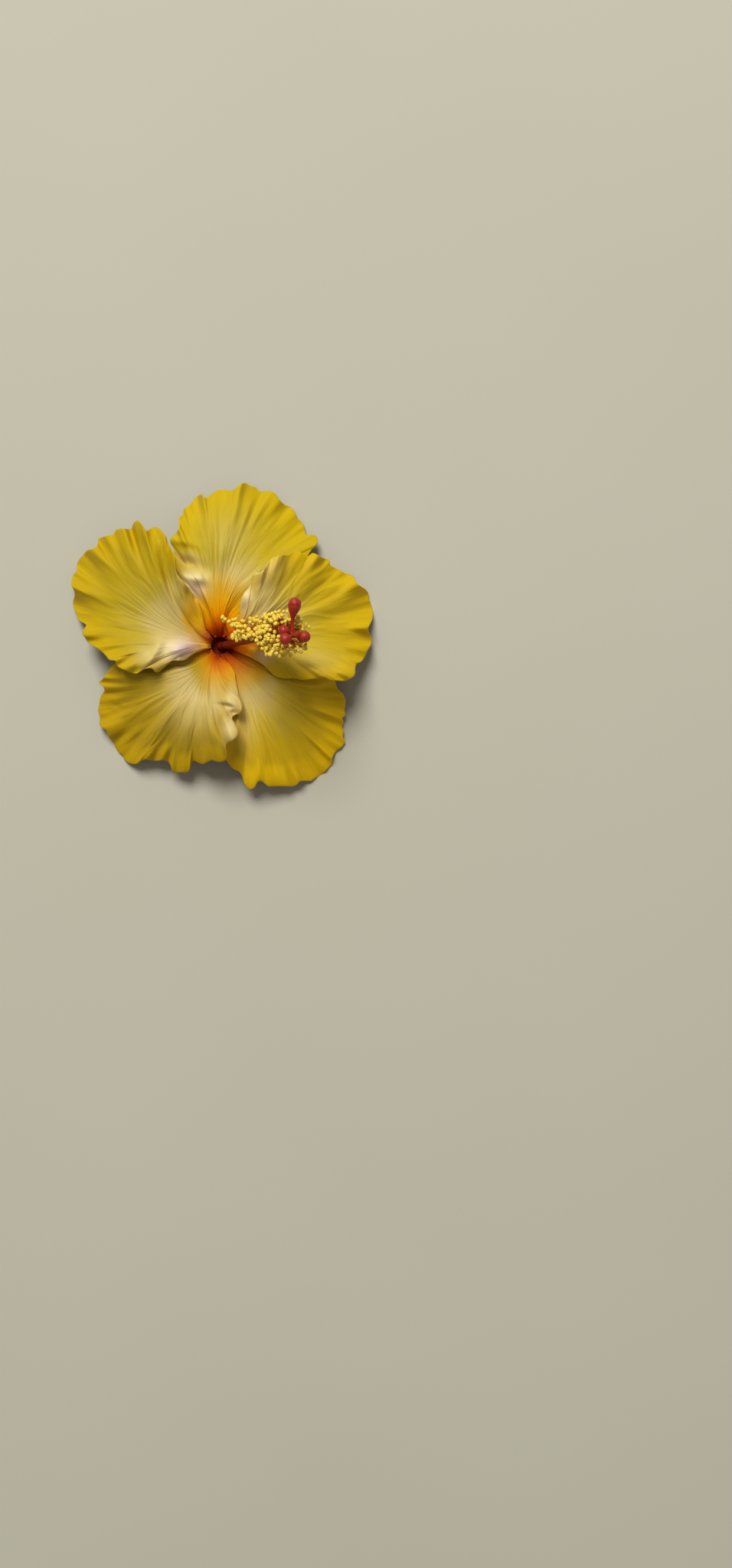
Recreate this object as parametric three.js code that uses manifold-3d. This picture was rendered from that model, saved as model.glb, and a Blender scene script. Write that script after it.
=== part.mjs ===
// Hibiscus flower, picked and lying face up on its calyx and its bent-back petal tips.
// Millimetres, +Z up. z = 0 is the surface that it lies on; the origin is the bottom
// centre of the whole flower's bounding box.
//
// Five overlapping ruffled petals leave a narrow throat and open into a wide shallow
// saucer whose outer third bends back down to the surface. A staminal column rises out of
// the throat, leaning towards +X, and carries tufts of stamens; the style ends above it in
// five stigmas. Below the petals sit the green calyx and the epicalyx bracts. The stalk is
// cut flush with the bottom of the calyx.

import * as THREE from 'three';
import { mergeVertices } from 'three/addons/utils/BufferGeometryUtils.js';
import Module from 'manifold-3d';

// ---------------------------------------------------------------- driving dimensions
// Throat centre relative to the origin.
const THROAT = [-0.15, -4.08];
// The plan outlines below are laid out on the level PLAN_Z and carried along straight
// lines through the apex APEX, so a raised part of a petal leans inwards a little.
const APEX = [54.05, -51.2, 512];
const PLAN_Z = 12;

// Saucer profile: height of a petal against the distance from the throat.
const PROFILE_R = [0, 3.2, 5, 8, 12, 18, 26, 34, 42, 50, 57, 64];
const PROFILE_Z = [5, 8, 10.3, 13.3, 15.9, 18.2, 19.3, 18.8, 16, 11.5, 6.3, 0.8];
const CLAW_RADIUS = 3.3;          // where the petals start, round the column
const PETAL_BASE_T = 0.80;        // petal thickness at the claw
const PETAL_EDGE_T = 0.55;        // and at the frilled margin
const PETAL_ROWS = 10;            // facets from claw to margin
const PETAL_COLUMNS = 56;         // facets across
const FALL_FROM = 30, FALL_TO = 60; // where the extra bending back starts and ends
const RISES = [[0.25, 0.7], [0.42, 0.88], [0.68, 1], [0.36, 0.66], [0.85, 1]]; // where each set of folds grows, claw 0 to margin 1

const COLUMN_START = [-0.45, 0.45, 5.26];
const COLUMN_MIDDLE = [15.55, 0.06, 34.57];
const COLUMN_END = [28.62, -0.75, 53.5];
const COLUMN_TOP = 0.965;         // the column stops here, the style goes on
const COLUMN_BASE_R = 1.42;
const COLUMN_TIP_R = 1.20;
const COLUMN_SIDES = 12;
const COLUMN_STEPS = 9;

const ANTHER_R = 0.72;
const FILAMENT_R = 0.16;
const PAD_R = 0.50;

const HUB = [29.21, -0.78, 54.18];              // where the style parts into the stigma stalks
const HUB_R = 1.22;
const STALK_R = 0.62;

const CALYX_GAP = [3.2, 4.5];     // calyx below the petals' upper face, near the claws and further out
const WELL_Z = 4.5;               // floor of the well that holds the column's foot
const WELL_R = 2.9;
const FOOT_R = 4.4;               // cut stalk
const CALYX_T = 0.95;
const CALYX_CUP_R = 9.0;
const CALYX_LOBE = 5.0;
const CALYX_STEPS = 30;
const BRACTS = 7;
const BRACT_LENGTH = 12;
const BRACT_WIDTH = 2.4;
const BRACT_T = 0.7;

// Petals: margin control points [x, y, lift], going round from one side of the claw to the
// other. lift is how far that stretch of the petal stands above (or below) the saucer, so
// the overlapping sides clear each other. folds are crest and trough heights at even steps
// across the petal, one set after the other growing towards the margin. swells are local
// bulges and hollows [x, y, half-length, half-width, turn, height].
const PETALS = [
  {
    name: 'petal_top', baseFrom: 124, baseTo: 60, axis: 90, drop: 2.97, window: [-0.62, -0.54, 0.36, 0.45],
    folds: [
      [0.11, -0.14, -0.82, -1.05, 0.03, -0.01, -1.57, -0.4, 0.14, 0.11, 0.02],
      [0.01, 0.04, 0.04, -0.19, -1.01, -2.21, -2.63, 0.11, 0.31, 2.62, 2.69, 2.7, 2.7, 1.11, -0.55, -0.54, -0.54, 0.41, 0.41, 0.14, 0.01, -0.01, 0, 0, 0],
      [0, 0, 0, 0, 0, -0.02, 0.02, 0.13, 0.4, 0.35, -3.04, -1.01, 0.4, 2.21, -0.4, 1.34, 0.38, 0.11, -0.43, 0.51, 2.35, 0.66, 1.28, 2.61, 2.62, 2.02, 2.4, 2.93, 2.43, 0.05, -0.64, -0.64, -0.56, -0.4, 0.4, -0.64, -0.21, -0.02, 0.02, 0.02, 0, 0, 0, 0, 0, 0, 0, 0, 0],
      [0, 0, 0, 0, 0, 0, 0, 0, 0, -0.02, -0.03, 0.03, 0.16, 0.16, -0.94, -1.12, -0.74, -0.37, -0.62, -0.59, -0.16, -0.06, 0.06, 0.5, -0.4, -1.07, 1.12, 1.1, 0.86, 0.53, -0.1, -0.46, -0.46, -0.29, -0.14, 0, -0.16, -0.64, -0.64, -0.62, -0.46, -0.22, 0.14, 0.16, -0.64, -0.26, -0.03, 0.02, 0.02, 0, 0, 0, 0, 0, 0, 0, 0, 0, 0, 0, 0],
      [0, 0, 0, 0, 0, 0, 0, 0, 0, 0, 0, 0, 0, 0, -0.02, 0, 0.11, 0.36, 0.23, -2.29, 0.04, 0.32, -0.25, -1.08, -2.34, 1.01, 0.49, -0.13, -0.16, 0.18, 0.54, 0.04, -1.78, -1.48, 2.14, 0.94, 1.17, 1.26, 1.01, 0.67, 1.35, 1.58, 2.34, 1.82, -0.77, -2.34, -1.98, -1.46, -0.86, 0.65, 0.83, 1.44, 1.51, -0.04, -0.2, 0.72, 0.72, -0.72, -0.72, 0.36, -0.04, 0.34, 0.36, 0.36, -0.72, -0.72, -0.16, 0.02, 0.02, 0.02, 0, 0, 0, 0, 0, 0, 0, 0, 0, 0, 0, 0, 0, 0, 0, 0, 0, 0, 0, 0, 0],
    ],
    swells: [[-13.87, 38.49, 5.50, 1.50, -12, 1.5], [-12.17, 29.71, 5.20, 2.30, -14, -2.2], [-9.34, 25.47, 4.40, 2.20, -20, 3.2], [-7.07, 16.98, 3.50, 1.80, -55, -0.9]],
    margin: [
      [-2.26, 3.31, -1], [-4.1, 5.09, -1], [-6.79, 7.64, -1], [-10.47, 11.89, -1], [-13.3, 16.7, -1.3], [-16.41, 21.51, -1.5],
      [-18.11, 26.04, -1.5], [-18.68, 29.71, -1.4], [-17.83, 32.26, -0.9], [-16.7, 34.53, -0.2], [-17.55, 36.51, 0.6], [-18.39, 38.49, 1],
      [-17.83, 40.19, 0.9], [-16.41, 41.32, 0.6], [-15.28, 43.3, 0.3], [-15, 45.28, 0], [-15.28, 46.98, 0], [-13.58, 48.68, 0],
      [-13.3, 50.66, 0], [-11.32, 51.79, 0], [-9.9, 53.77, 0], [-8.21, 55.47, 0], [-6.51, 56.03, 0], [-5.38, 54.62, 0],
      [-3.4, 55.75, 0], [-1.41, 57.17, 0], [0.57, 57.73, 0], [2.83, 57.45, 0], [4.81, 57.45, 0], [6.79, 59.15, 0],
      [9.06, 60.28, 0], [11.32, 59.15, 0], [13.3, 58.58, 0], [14.43, 57.17, 0], [16.41, 57.17, 0], [18.39, 57.17, 0],
      [20.38, 56.32, 0], [22.07, 54.05, 0], [23.77, 52.35, 0], [26.04, 51.22, 0], [27.73, 49.52, 0], [28.87, 46.98, -0.2],
      [30.85, 45, -0.45], [31.41, 43.02, -0.6], [31.98, 41.03, -0.75], [33.68, 41.03, -0.9], [35.38, 40.75, -1.05], [36.22, 39.05, -1.2],
      [35.66, 37.07, -1.35], [33.96, 35.38, -1.5], [32.54, 33.11, -1.7], [29.71, 29.71, -1.7], [25.19, 24.9, -1.7], [19.81, 19.24, -1.5],
      [13.87, 12.73, -1.3], [6.51, 7.07, -1.1], [2.07, 3.45, -1],
    ],
  },
  {
    name: 'petal_left', baseFrom: 132, baseTo: 196, axis: 165, drop: -2.5, window: [-0.88, -0.74, 0.72, 0.88],
    folds: [
      [0.04, -0.25, -0.25, 1.22, 0.26, -0.84, -0.4, 0.66, 0.07, -0.12, -0.08],
      [0.14, -0.39, -0.39, 1.61, 0.68, 0.54, 0.82, 2.63, 2.7, 2.28, 0.89, -0.47, 0.53, -0.72, -2.07, -1.19, -2.59, -0.08, 1.34, 1.26, 1.89, 0.18, 1.24, -0.11, -0.23],
      [0.02, 0.19, 0.35, -0.38, -0.4, -0.29, 0.02, 2.05, 1.42, 2.3, 2.77, 2.82, 2.77, 3.04, 2.94, 2.72, 0.37, -1.39, 2.62, 1.66, 1.2, 2.34, 1.7, -1.39, -2.98, -0.13, 2.7, 0.78, -1.6, -2.91, -2.83, -0.48, 0.35, -2.27, 1.57, -0.34, 1.82, -0.16, 0.85, -0.14, 0.05, 1.38, -0.37, 0.38, -0.4, -0.13, 0.21, 0.11, 0],
      [-0.02, 0.02, 0.1, 0.18, -0.16, -0.16, 0.06, -0.16, -0.13, 0.4, -0.14, -0.16, 0.53, 0.77, 0.77, 0.56, -0.72, 1.04, 0.91, 0.9, 0.8, 0.32, 0.34, 0.21, 0.1, 0.06, 0.14, 0.37, 0.27, -0.22, -0.62, -0.8, -1.06, -1.1, -0.82, -0.51, -0.56, -0.66, -0.54, -0.1, 0.54, 1.07, 0.94, 0.61, 0.13, 0.38, 0.26, 0.82, 0.74, 0.35, -0.05, -0.16, 0.08, 0.13, -0.06, -0.14, 0.94, 0.51, 0.1, -0.02, -0.03],
      [0, 0, 0, 0.02, 0.04, 0, -0.32, -0.34, -0.18, 0.05, 0.56, 1.06, 1.57, 1.3, 0.47, 1.17, 1.46, 0.56, 0.27, -0.07, -0.23, -0.13, 0.38, 1.06, 1.46, -1.06, -1.46, 1.8, 1.87, 2.32, 2.16, -0.09, -1.55, 1.73, -1.13, -1.42, 1.24, 2.16, -0.94, -1.73, 0.67, 2.12, 1.73, 0.14, 0.68, -0.36, -2.2, -1.08, -2.23, -0.77, 2.23, 2.02, 0.04, -1.44, -1.48, -1.51, -2.16, -2.2, -0.88, -0.18, 0.4, 1.3, -1.21, -2.25, -0.76, 0.14, -0.34, 0.22, 0.99, 2.16, -0.22, 0.04, -0.34, -0.34, 0.13, -0.07, 0, 0.34, 0.05, -0.32, 0.99, -0.13, -0.32, -0.36, -0.16, 0.14, 0.07, 0.02, 0, 0, 0],
    ],
    swells: [[-13.87, -1.13, 4.40, 2.90, 20, 2.9], [-20.38, -2.55, 2.40, 3.60, -20, -1.5], [-25.47, -4.81, 5.50, 1.60, 58, 2], [-30.28, -7.07, 3.50, 1.30, 50, -0.8]],
    margin: [
      [-2.69, 2.97, 1.3], [-4.67, 5.38, 1.3], [-5.66, 5.94, 1.3], [-6.23, 10.47, 1.4], [-7.07, 14.43, 1.6], [-8.77, 17.55, 2],
      [-10.75, 20.09, 2.4], [-12.73, 22.64, 3], [-14.72, 24.9, 3.4], [-16.13, 27.17, 3.6], [-16.7, 29.15, 3.6], [-16.41, 31.13, 3.4],
      [-16.7, 33.11, 2.8], [-17.55, 35.09, 2], [-18.68, 37.07, 1.2], [-19.53, 39.05, 0.6], [-20.09, 40.75, 0.2], [-21.22, 41.88, 0],
      [-22.36, 43.3, 0], [-24.05, 43.86, 0], [-25.75, 43.3, 0], [-27.17, 42.45, 0], [-28.3, 44.15, 0], [-29.43, 45.56, 0],
      [-30.56, 46.41, 0], [-31.98, 45.28, 0], [-32.83, 43.3, 0], [-35.09, 43.3, 0], [-37.07, 43.3, 0], [-38.49, 42.73, 0],
      [-39.62, 41.03, 0], [-41.6, 40.75, 0], [-43.58, 40.19, 0], [-45, 39.34, 0], [-45.28, 37.36, 0], [-46.69, 35.94, 0],
      [-48.96, 35.38, 0], [-50.09, 34.24, 0], [-51.22, 32.83, 0], [-52.35, 31.41, 0], [-52.92, 29.71, 0], [-52.92, 27.73, 0],
      [-54.05, 26.32, 0], [-54.9, 24.34, 0], [-54.9, 22.36, 0], [-54.05, 20.38, 0], [-53.77, 18.39, 0], [-54.34, 16.41, 0],
      [-54.05, 14.15, 0], [-53.2, 12.17, 0], [-52.64, 10.19, 0], [-51.22, 8.77, 0], [-49.52, 7.64, 0], [-50.09, 6.23, 0],
      [-50.94, 4.81, 0], [-50.09, 3.11, 0], [-48.39, 0.85, 0.3], [-46.41, -0.28, 0.6], [-44.43, -1.7, 1], [-42.45, -3.4, 1.5],
      [-40.75, -5.38, 2], [-38.77, -5.66, 2.4], [-38.2, -7.36, 2.6], [-36.51, -8.49, 2.8], [-34.53, -9.34, 3], [-32.54, -10.19, 3.2],
      [-30.85, -10.47, 2.9], [-29.15, -9.34, 2.8], [-27.17, -8.49, 2.7], [-25.19, -8.49, 2.6], [-23.77, -9.9, 2.5], [-22.36, -9.62, 2.4],
      [-21.22, -7.64, 2.3], [-19.53, -6.51, 2.2], [-17.55, -5.66, 2.2], [-15.28, -5.66, 2.1], [-13.02, -5.38, 1.9], [-11.04, -3.96, 1.7],
      [-9.34, -2.83, 1.6], [-7.07, -1.98, 1.4], [-6.51, -1.56, 1.4], [-3.85, -1.1, 1.4],
    ],
  },
  {
    name: 'petal_right', baseFrom: 52, baseTo: -12, axis: 18, drop: 0.78, window: [-0.86, -0.7, 0.7, 0.86],
    folds: [
      [-0.04, 0.17, 0.56, -0.17, 0.3, -0.27, -0.26, 0.56, 0.92, -0.25, -0.01],
      [0.07, 0.01, -0.31, -0.39, 0.11, 1.92, 1.5, -0.28, 0.15, 1.09, -1.15, -1.49, -1.32, -1.73, -1.63, 0.42, 2.25, 2.7, 2.55, 1.53, 0.88, -0.34, -0.32, 1.44, 0.61],
      [-0.02, -0.1, -0.13, 0.4, 2.72, -0.37, -0.37, -0.37, -0.29, 2.62, 2.38, 2.11, 1.73, 0.56, 1.28, -0.11, 0.24, 0.19, -2.08, -2.13, 0.56, 0.62, 1.87, -0.16, -1.6, -1.1, 2.59, 2.3, 2.32, 0.91, 2.85, 1.2, 2.83, 2.93, 1.94, 1.15, 0.85, 0.66, -0.35, -0.4, -0.29, -0.37, -0.05, -0.29, -0.35, 2, 0.83, 0.13, -0.11],
      [0, -0.02, -0.03, -0.02, 0.19, 0.86, 0.59, -0.16, 0.51, 0.13, 0.26, 0.4, 0.45, 0.62, 0.62, 0.32, 0.42, 0.14, -0.14, 0.22, 0.74, 0.93, 0.74, -0.26, -0.5, -0.51, -0.43, -0.45, 0.4, 0.43, 0.02, -0.4, -0.59, -0.46, 0.03, 0, -0.37, -0.8, -0.7, -0.02, -0.34, -0.1, -0.11, 0.75, 0.8, 0.35, 0.02, 0.02, 0.85, 0.83, 0.37, 0.02, -0.13, -0.16, -0.13, 0.72, 0.02, -0.06, -0.03, 0, 0],
      [0, 0, 0, 0, -0.02, -0.07, -0.02, 0.49, 1.94, 0.34, -0.34, -0.31, -0.14, 0.11, -0.09, 2.12, 2.27, 1.24, 0.74, 0.56, 0.67, 1.49, 1.48, -0.36, -0.36, -0.29, 0.29, 0.32, -0.2, 1.26, 2.07, 0.92, -1.8, -1.66, -1.08, -0.58, 0.77, 0.18, -0.4, 0.88, 2.18, 1.73, 0.65, 0.4, -0.29, 0.23, -0.05, -0.52, 0.25, -0.43, 1.58, 2.12, 0.83, -0.67, -0.94, 2.05, 0.11, -1.8, -0.65, 2.18, 1.08, 2.11, 2.21, 2.34, 2.07, 1.87, 1.67, 1.33, 1.06, 0.85, -0.14, -0.34, -0.34, -0.34, -0.32, -0.32, -0.31, -0.29, -0.23, -0.32, -0.29, -0.32, 0, 1.31, 0.81, 0.18, -0.02, -0.04, -0.02, 0, 0],
    ],
    swells: [[9.34, 16.98, 1.80, 3.40, 0, 1.9], [12.45, 23.49, 2.50, 5.00, -25, 1.5], [14.43, 15.00, 3.00, 7.00, -10, -0.9], [44.43, -9.90, 5.00, 1.80, -8, 1.4], [33.39, -8.77, 6.00, 2.40, 0, -1.4]],
    margin: [
      [2.46, 3.14, 1.3], [4.53, 6.51, 1.4], [7.07, 10.75, 1.4], [7.36, 13.87, 1.7], [7.92, 16.98, 2.2], [8.77, 19.24, 2.6],
      [10.47, 21.22, 2.8], [11.6, 23.21, 3], [11.89, 25.75, 3.1], [13.02, 26.88, 3.1], [15, 27.17, 3], [16.7, 28.87, 2.9],
      [17.83, 30.56, 2.9], [19.24, 32.26, 2.9], [21.22, 33.11, 2.9], [23.49, 33.68, 3], [25.47, 33.68, 3.1], [26.88, 34.81, 3.2],
      [29.15, 34.81, 3.2], [30.85, 33.96, 3], [32.54, 33.11, 3.2], [34.24, 34.24, 2.4], [35.94, 33.68, 1.5], [37.92, 32.54, 0.7],
      [40.47, 31.7, 0], [40.75, 30, 0], [42.45, 28.87, 0], [44.43, 28.02, 0], [46.13, 26.88, 0], [48.11, 26.32, 0],
      [49.81, 25.19, 0], [50.37, 23.49, 0], [52.07, 22.07, 0], [53.77, 20.94, 0], [54.9, 19.53, 0], [55.18, 17.26, 0],
      [56.03, 15, 0], [56.6, 12.73, 0], [56.6, 10.19, 0], [55.75, 8.21, 0], [54.9, 6.23, 0], [55.47, 4.24, 0],
      [56.32, 2.26, 0], [55.75, 0, 0], [54.62, -1.98, 0], [53.77, -3.96, 0], [52.35, -5.94, 0], [50.66, -6.79, 0],
      [50.09, -8.49, 0.5], [50.09, -10.47, 1], [48.96, -11.89, 1.5], [46.69, -13.02, 2], [43.86, -13.02, 2.4], [41.32, -13.02, 2.8],
      [38.77, -11.89, 3], [36.51, -12.17, 3.2], [33.68, -12.45, 3.4], [30.85, -12.73, 3.5], [27.45, -12.17, 3.6], [24.05, -12.17, 3.6],
      [20.94, -11.6, 3], [18.11, -9.34, 2.5], [15.85, -7.07, 2], [12.73, -5.09, 1.6], [8.49, -3.11, 1.3], [3.91, -0.82, 1.3],
    ],
  },
  {
    name: 'petal_lower_left', baseFrom: 204, baseTo: 268, axis: 236, drop: 7.4, window: [-0.58, -0.5, 0.72, 0.86],
    folds: [
      [-0.01, 0.08, 0.2, -0.06, -0.72, -0.2, 0.7, 1.6, -0.25, -0.25, -0.05],
      [0, 0, -0.03, -0.07, -0.04, 0.41, -0.99, -1.82, -2.7, -2.12, -2.69, -1.76, -0.53, -2.69, -2.7, -2.67, -2.23, 2.7, 0.35, -0.41, 0.51, -0.41, 0.41, 0.26, 0.01],
      [0, 0, 0, 0, 0, 0, 0.03, 0.06, -0.02, -0.62, -2.14, -0.85, 0.21, -0.18, -0.37, -0.1, 0.88, -0.13, 3.04, 2.96, 2.98, 2.16, -0.35, 1.04, 0.82, 1.63, 2.05, 0.91, -0.4, 0.48, -0.21, -0.26, 0.27, -0.1, -1.54, -0.4, 1.33, 2.29, 0.58, -0.26, -0.29, 1.66, -0.4, 0.26, -0.4, -0.19, -0.02, 0.02, 0.02],
      [0, 0, 0, 0, 0, 0, 0, 0, 0, 0, -0.02, -0.06, -0.11, 0.14, 0.16, 0.03, -0.37, -0.38, -0.69, -0.91, -1.06, -1.07, -1.12, -0.94, -0.7, -0.77, -1.12, -0.74, 1.1, 0.93, 0.45, 0.5, 0.67, 0.53, 0.32, 0.45, 0.93, 0.66, 0.38, 0.3, 0.26, -0.38, -0.29, 1.12, 1.12, 0.13, -0.16, 0.9, 1.12, 0.58, 0.29, -0.16, 0.42, 1.07, -0.16, 0.7, 0.46, 0.1, -0.02, -0.02, 0],
      [0, 0, 0, 0, 0, 0, 0, 0, 0, 0, 0, 0, 0, 0, 0, 0.02, 0.04, 0.02, -0.27, -1.13, -1.49, 0.34, -2.34, -0.68, 0.23, 0.36, -0.02, -0.41, -0.76, -0.27, 1.78, 2.21, 2.3, 2.14, 2.34, 2.23, 1.66, 1.35, 1.01, 1.21, 1.73, 2.34, 2.34, 2.34, 2.34, 1.89, 1.49, 1.37, 0.5, 0.25, 1.06, 0.79, 1.53, 2.34, 2.34, 2.34, 2.34, 1.62, 0.83, 0.02, 0.49, 1.49, 0.68, 1.37, 1.91, 2.34, -0.36, -0.05, -0.36, 0.79, 2.34, 2.34, 2.34, 0.88, 0.25, -0.04, -0.36, 0.13, 2.34, 2.34, 0.67, -0.05, -0.36, -0.36, -0.04, 0.04, 0.02, 0, 0, 0, 0],
    ],
    swells: [[4.81, -19.53, 3.00, 2.60, 0, 1.5], [2.55, -22.36, 2.80, 0.80, -10, -1.8], [5.09, -24.90, 1.90, 1.60, 0, -1.9], [2.83, -28.58, 4.60, 1.50, -62, 1.7], [-1.13, -30.85, 5.00, 1.20, -70, -1]],
    margin: [
      [-3.65, -1.64, -1.2], [-7.07, -0.99, -1.1], [-11.6, -1.13, -1.1], [-16.7, -2.26, -1.2], [-22.36, -3.96, -1.4], [-28.02, -5.09, -1.5],
      [-33.11, -5.09, -1.5], [-36.79, -5.38, -1.3], [-39.05, -6.79, -0.6], [-41.03, -9.06, 0], [-42.17, -10.75, 0], [-43.3, -12.17, 0],
      [-44.71, -13.87, 0], [-43.3, -15, 0], [-42.73, -16.7, 0], [-43.86, -18.39, 0], [-44.43, -20.38, 0], [-44.71, -22.36, 0],
      [-45, -24.05, 0], [-44.43, -26.04, 0], [-44.43, -28.02, 0], [-44.43, -29.43, 0], [-43.3, -30.56, 0], [-41.88, -31.7, 0],
      [-41.32, -33.39, 0], [-40.47, -34.81, 0], [-39.34, -35.94, 0], [-38.49, -37.92, 0], [-37.36, -39.62, 0], [-35.94, -40.75, 0],
      [-35.38, -42.17, 0], [-33.96, -43.3, 0], [-32.26, -43.86, 0], [-30.28, -43.58, 0], [-29.15, -42.73, 0], [-27.45, -42.17, 0],
      [-25.47, -42.45, 0], [-23.21, -42.73, 0], [-21.22, -42.45, 0], [-19.24, -43.02, 0], [-18.11, -44.71, 0], [-17.55, -46.69, 0],
      [-14.43, -46.98, 0], [-11.6, -46.69, 0], [-10.75, -44.71, 0], [-9.9, -42.73, 0], [-8.21, -43.3, 0], [-6.51, -43.86, 0],
      [-4.81, -43.3, 0], [-3.11, -42.45, 0], [-1.13, -43.02, 0], [0.85, -43.02, 0], [2.55, -41.88, 1.2], [2.83, -39.9, 2.2],
      [2.26, -37.92, 3], [2.83, -36.22, 3.2], [4.81, -35.09, 3.2], [6.51, -33.39, 3], [6.79, -31.13, 3.2], [5.66, -28.87, 3.2],
      [4.53, -26.88, 3.2], [5.38, -25.75, 3.3], [7.36, -25.19, 3.4], [8.21, -23.21, 3.4], [7.92, -20.66, 3.3], [7.07, -18.39, 3.1],
      [6.51, -15.85, 2.2], [5.94, -12.73, 1.6], [5.38, -9.62, 1.4], [3.25, -6.51, 1.3], [-0.14, -3.99, 1.3],
    ],
  },
  {
    name: 'petal_lower_right', baseFrom: 276, baseTo: 340, axis: 312, drop: 5.55, window: [-0.56, -0.46, 0.42, 0.52],
    folds: [
      [0.08, 0.02, -0.39, -1.6, -1.6, -1.6, -1.6, -0.4, 0.25, 0.14, 0],
      [0, 0.03, 0.07, 0.05, -0.38, -1.81, -1.61, -0.9, 2.03, 2.35, 2.7, 2.13, 0.59, 1.17, -0.78, -0.28, -0.54, -0.54, -0.54, 0.41, 0.23, 0.05, 0, -0.01, 0],
      [0, 0, 0, 0, 0, 0, 0.03, 0.06, 0.02, -0.45, -1.76, -2.4, -3.04, 0.29, 3.04, 3.04, 3.04, 3.04, 3.04, 3.04, 3.04, 3.04, 3.04, 3.04, 3.04, 2.74, 3.04, 3.04, 3.04, 1.73, -0.83, 0.64, 0.26, -0.46, -0.26, -0.64, -0.38, 0.4, 0.16, 0.02, -0.02, 0, 0, 0, 0, 0, 0, 0, 0],
      [0, 0, 0, 0, 0, 0, 0, 0, 0, 0.02, 0.03, 0.02, -0.18, -0.75, -1.12, 0.16, -0.29, -1.12, -1.12, -1.1, -0.85, -1.12, -0.51, -0.18, -1.12, -0.58, 0.03, -1.12, -1.02, -1.12, -1.12, -0.99, -1.04, -1.12, -1.12, -0.88, -0.83, -0.78, -0.62, -0.64, -0.64, -0.64, -0.54, -0.35, 0.08, 0.16, -0.18, -0.11, -0.03, 0, 0, 0, 0, 0, 0, 0, 0, 0, 0, 0, 0],
      [0, 0, 0, 0, 0, 0, 0, 0, 0, 0, 0, 0, 0, 0, 0, 0, 0.04, 0.07, 0.02, -0.58, -2.29, -2.34, -0.14, -0.02, -0.81, -1.13, 0.36, 1.39, 2.34, 2.34, 2.34, 2.34, 2.34, 2.34, 2.34, 1.64, 2.18, 2.34, 2.34, 1.04, 2.34, 2.34, 2.34, 2.34, 2.34, 2.03, 2.34, 2.34, 2.23, 2.34, 2.34, 2.34, 2.34, 1.89, 2.34, 2.34, 2.34, 1.01, 0.25, 0.45, 0.72, -0.72, 0.36, 0.36, 0.16, -0.72, -0.72, -0.72, 0.36, 0.2, 0.04, 0, 0, 0, 0, 0, 0, 0, 0, 0, 0, 0, 0, 0, 0, 0, 0, 0, 0, 0, 0],
    ],
    swells: [],
    margin: [
      [0.42, -3.99, -1.1], [1.27, -7.64, -1], [1.41, -13.3, -1.1], [0.85, -18.96, -1.3], [0.57, -24.62, -1.5], [0.28, -30.28, -1.7],
      [0.28, -35.94, -1.7], [0.85, -39.9, -1.5], [2.55, -42.59, -0.8], [3.96, -44.71, 0], [5.38, -45.85, 0], [7.07, -46.69, 0],
      [8.21, -48.39, 0], [8.77, -50.37, 0], [9.62, -52.07, 0], [11.32, -53.2, 0], [13.02, -52.35, 0], [13.87, -50.66, 0],
      [15, -50.09, 0], [16.41, -50.94, 0], [17.83, -52.07, 0], [20.09, -52.07, 0], [22.36, -52.07, 0], [24.62, -52.07, 0],
      [26.88, -52.07, 0], [28.58, -51.51, 0], [29.43, -50.37, 0], [31.41, -50.09, 0], [33.68, -50.09, 0], [35.38, -48.96, 0],
      [37.07, -48.11, 0], [38.77, -46.69, 0], [40.47, -45, 0], [41.6, -43.86, 0], [41.6, -41.88, 0], [42.45, -39.9, 0],
      [43.86, -38.49, 0], [45.28, -37.36, 0], [46.41, -35.66, 0], [45.56, -33.68, 0], [45.85, -31.7, 0], [45.28, -30, 0],
      [45.85, -28.3, 0], [45.28, -26.88, 0], [46.41, -25.75, 0], [46.13, -23.77, 0], [46.41, -21.79, 0], [46.41, -19.81, 0],
      [45.28, -17.55, 0], [43.58, -15.85, -0.2], [42.73, -13.58, -0.6], [40.75, -10.19, -1.4], [37.07, -7.92, -1.5], [32.54, -6.23, -1.5],
      [26.88, -4.81, -1.3], [21.22, -3.68, -1.1], [15.56, -2.55, -1.1], [9.34, -1.84, -1], [3.76, -1.36, -1],
    ],
  },
];

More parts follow.
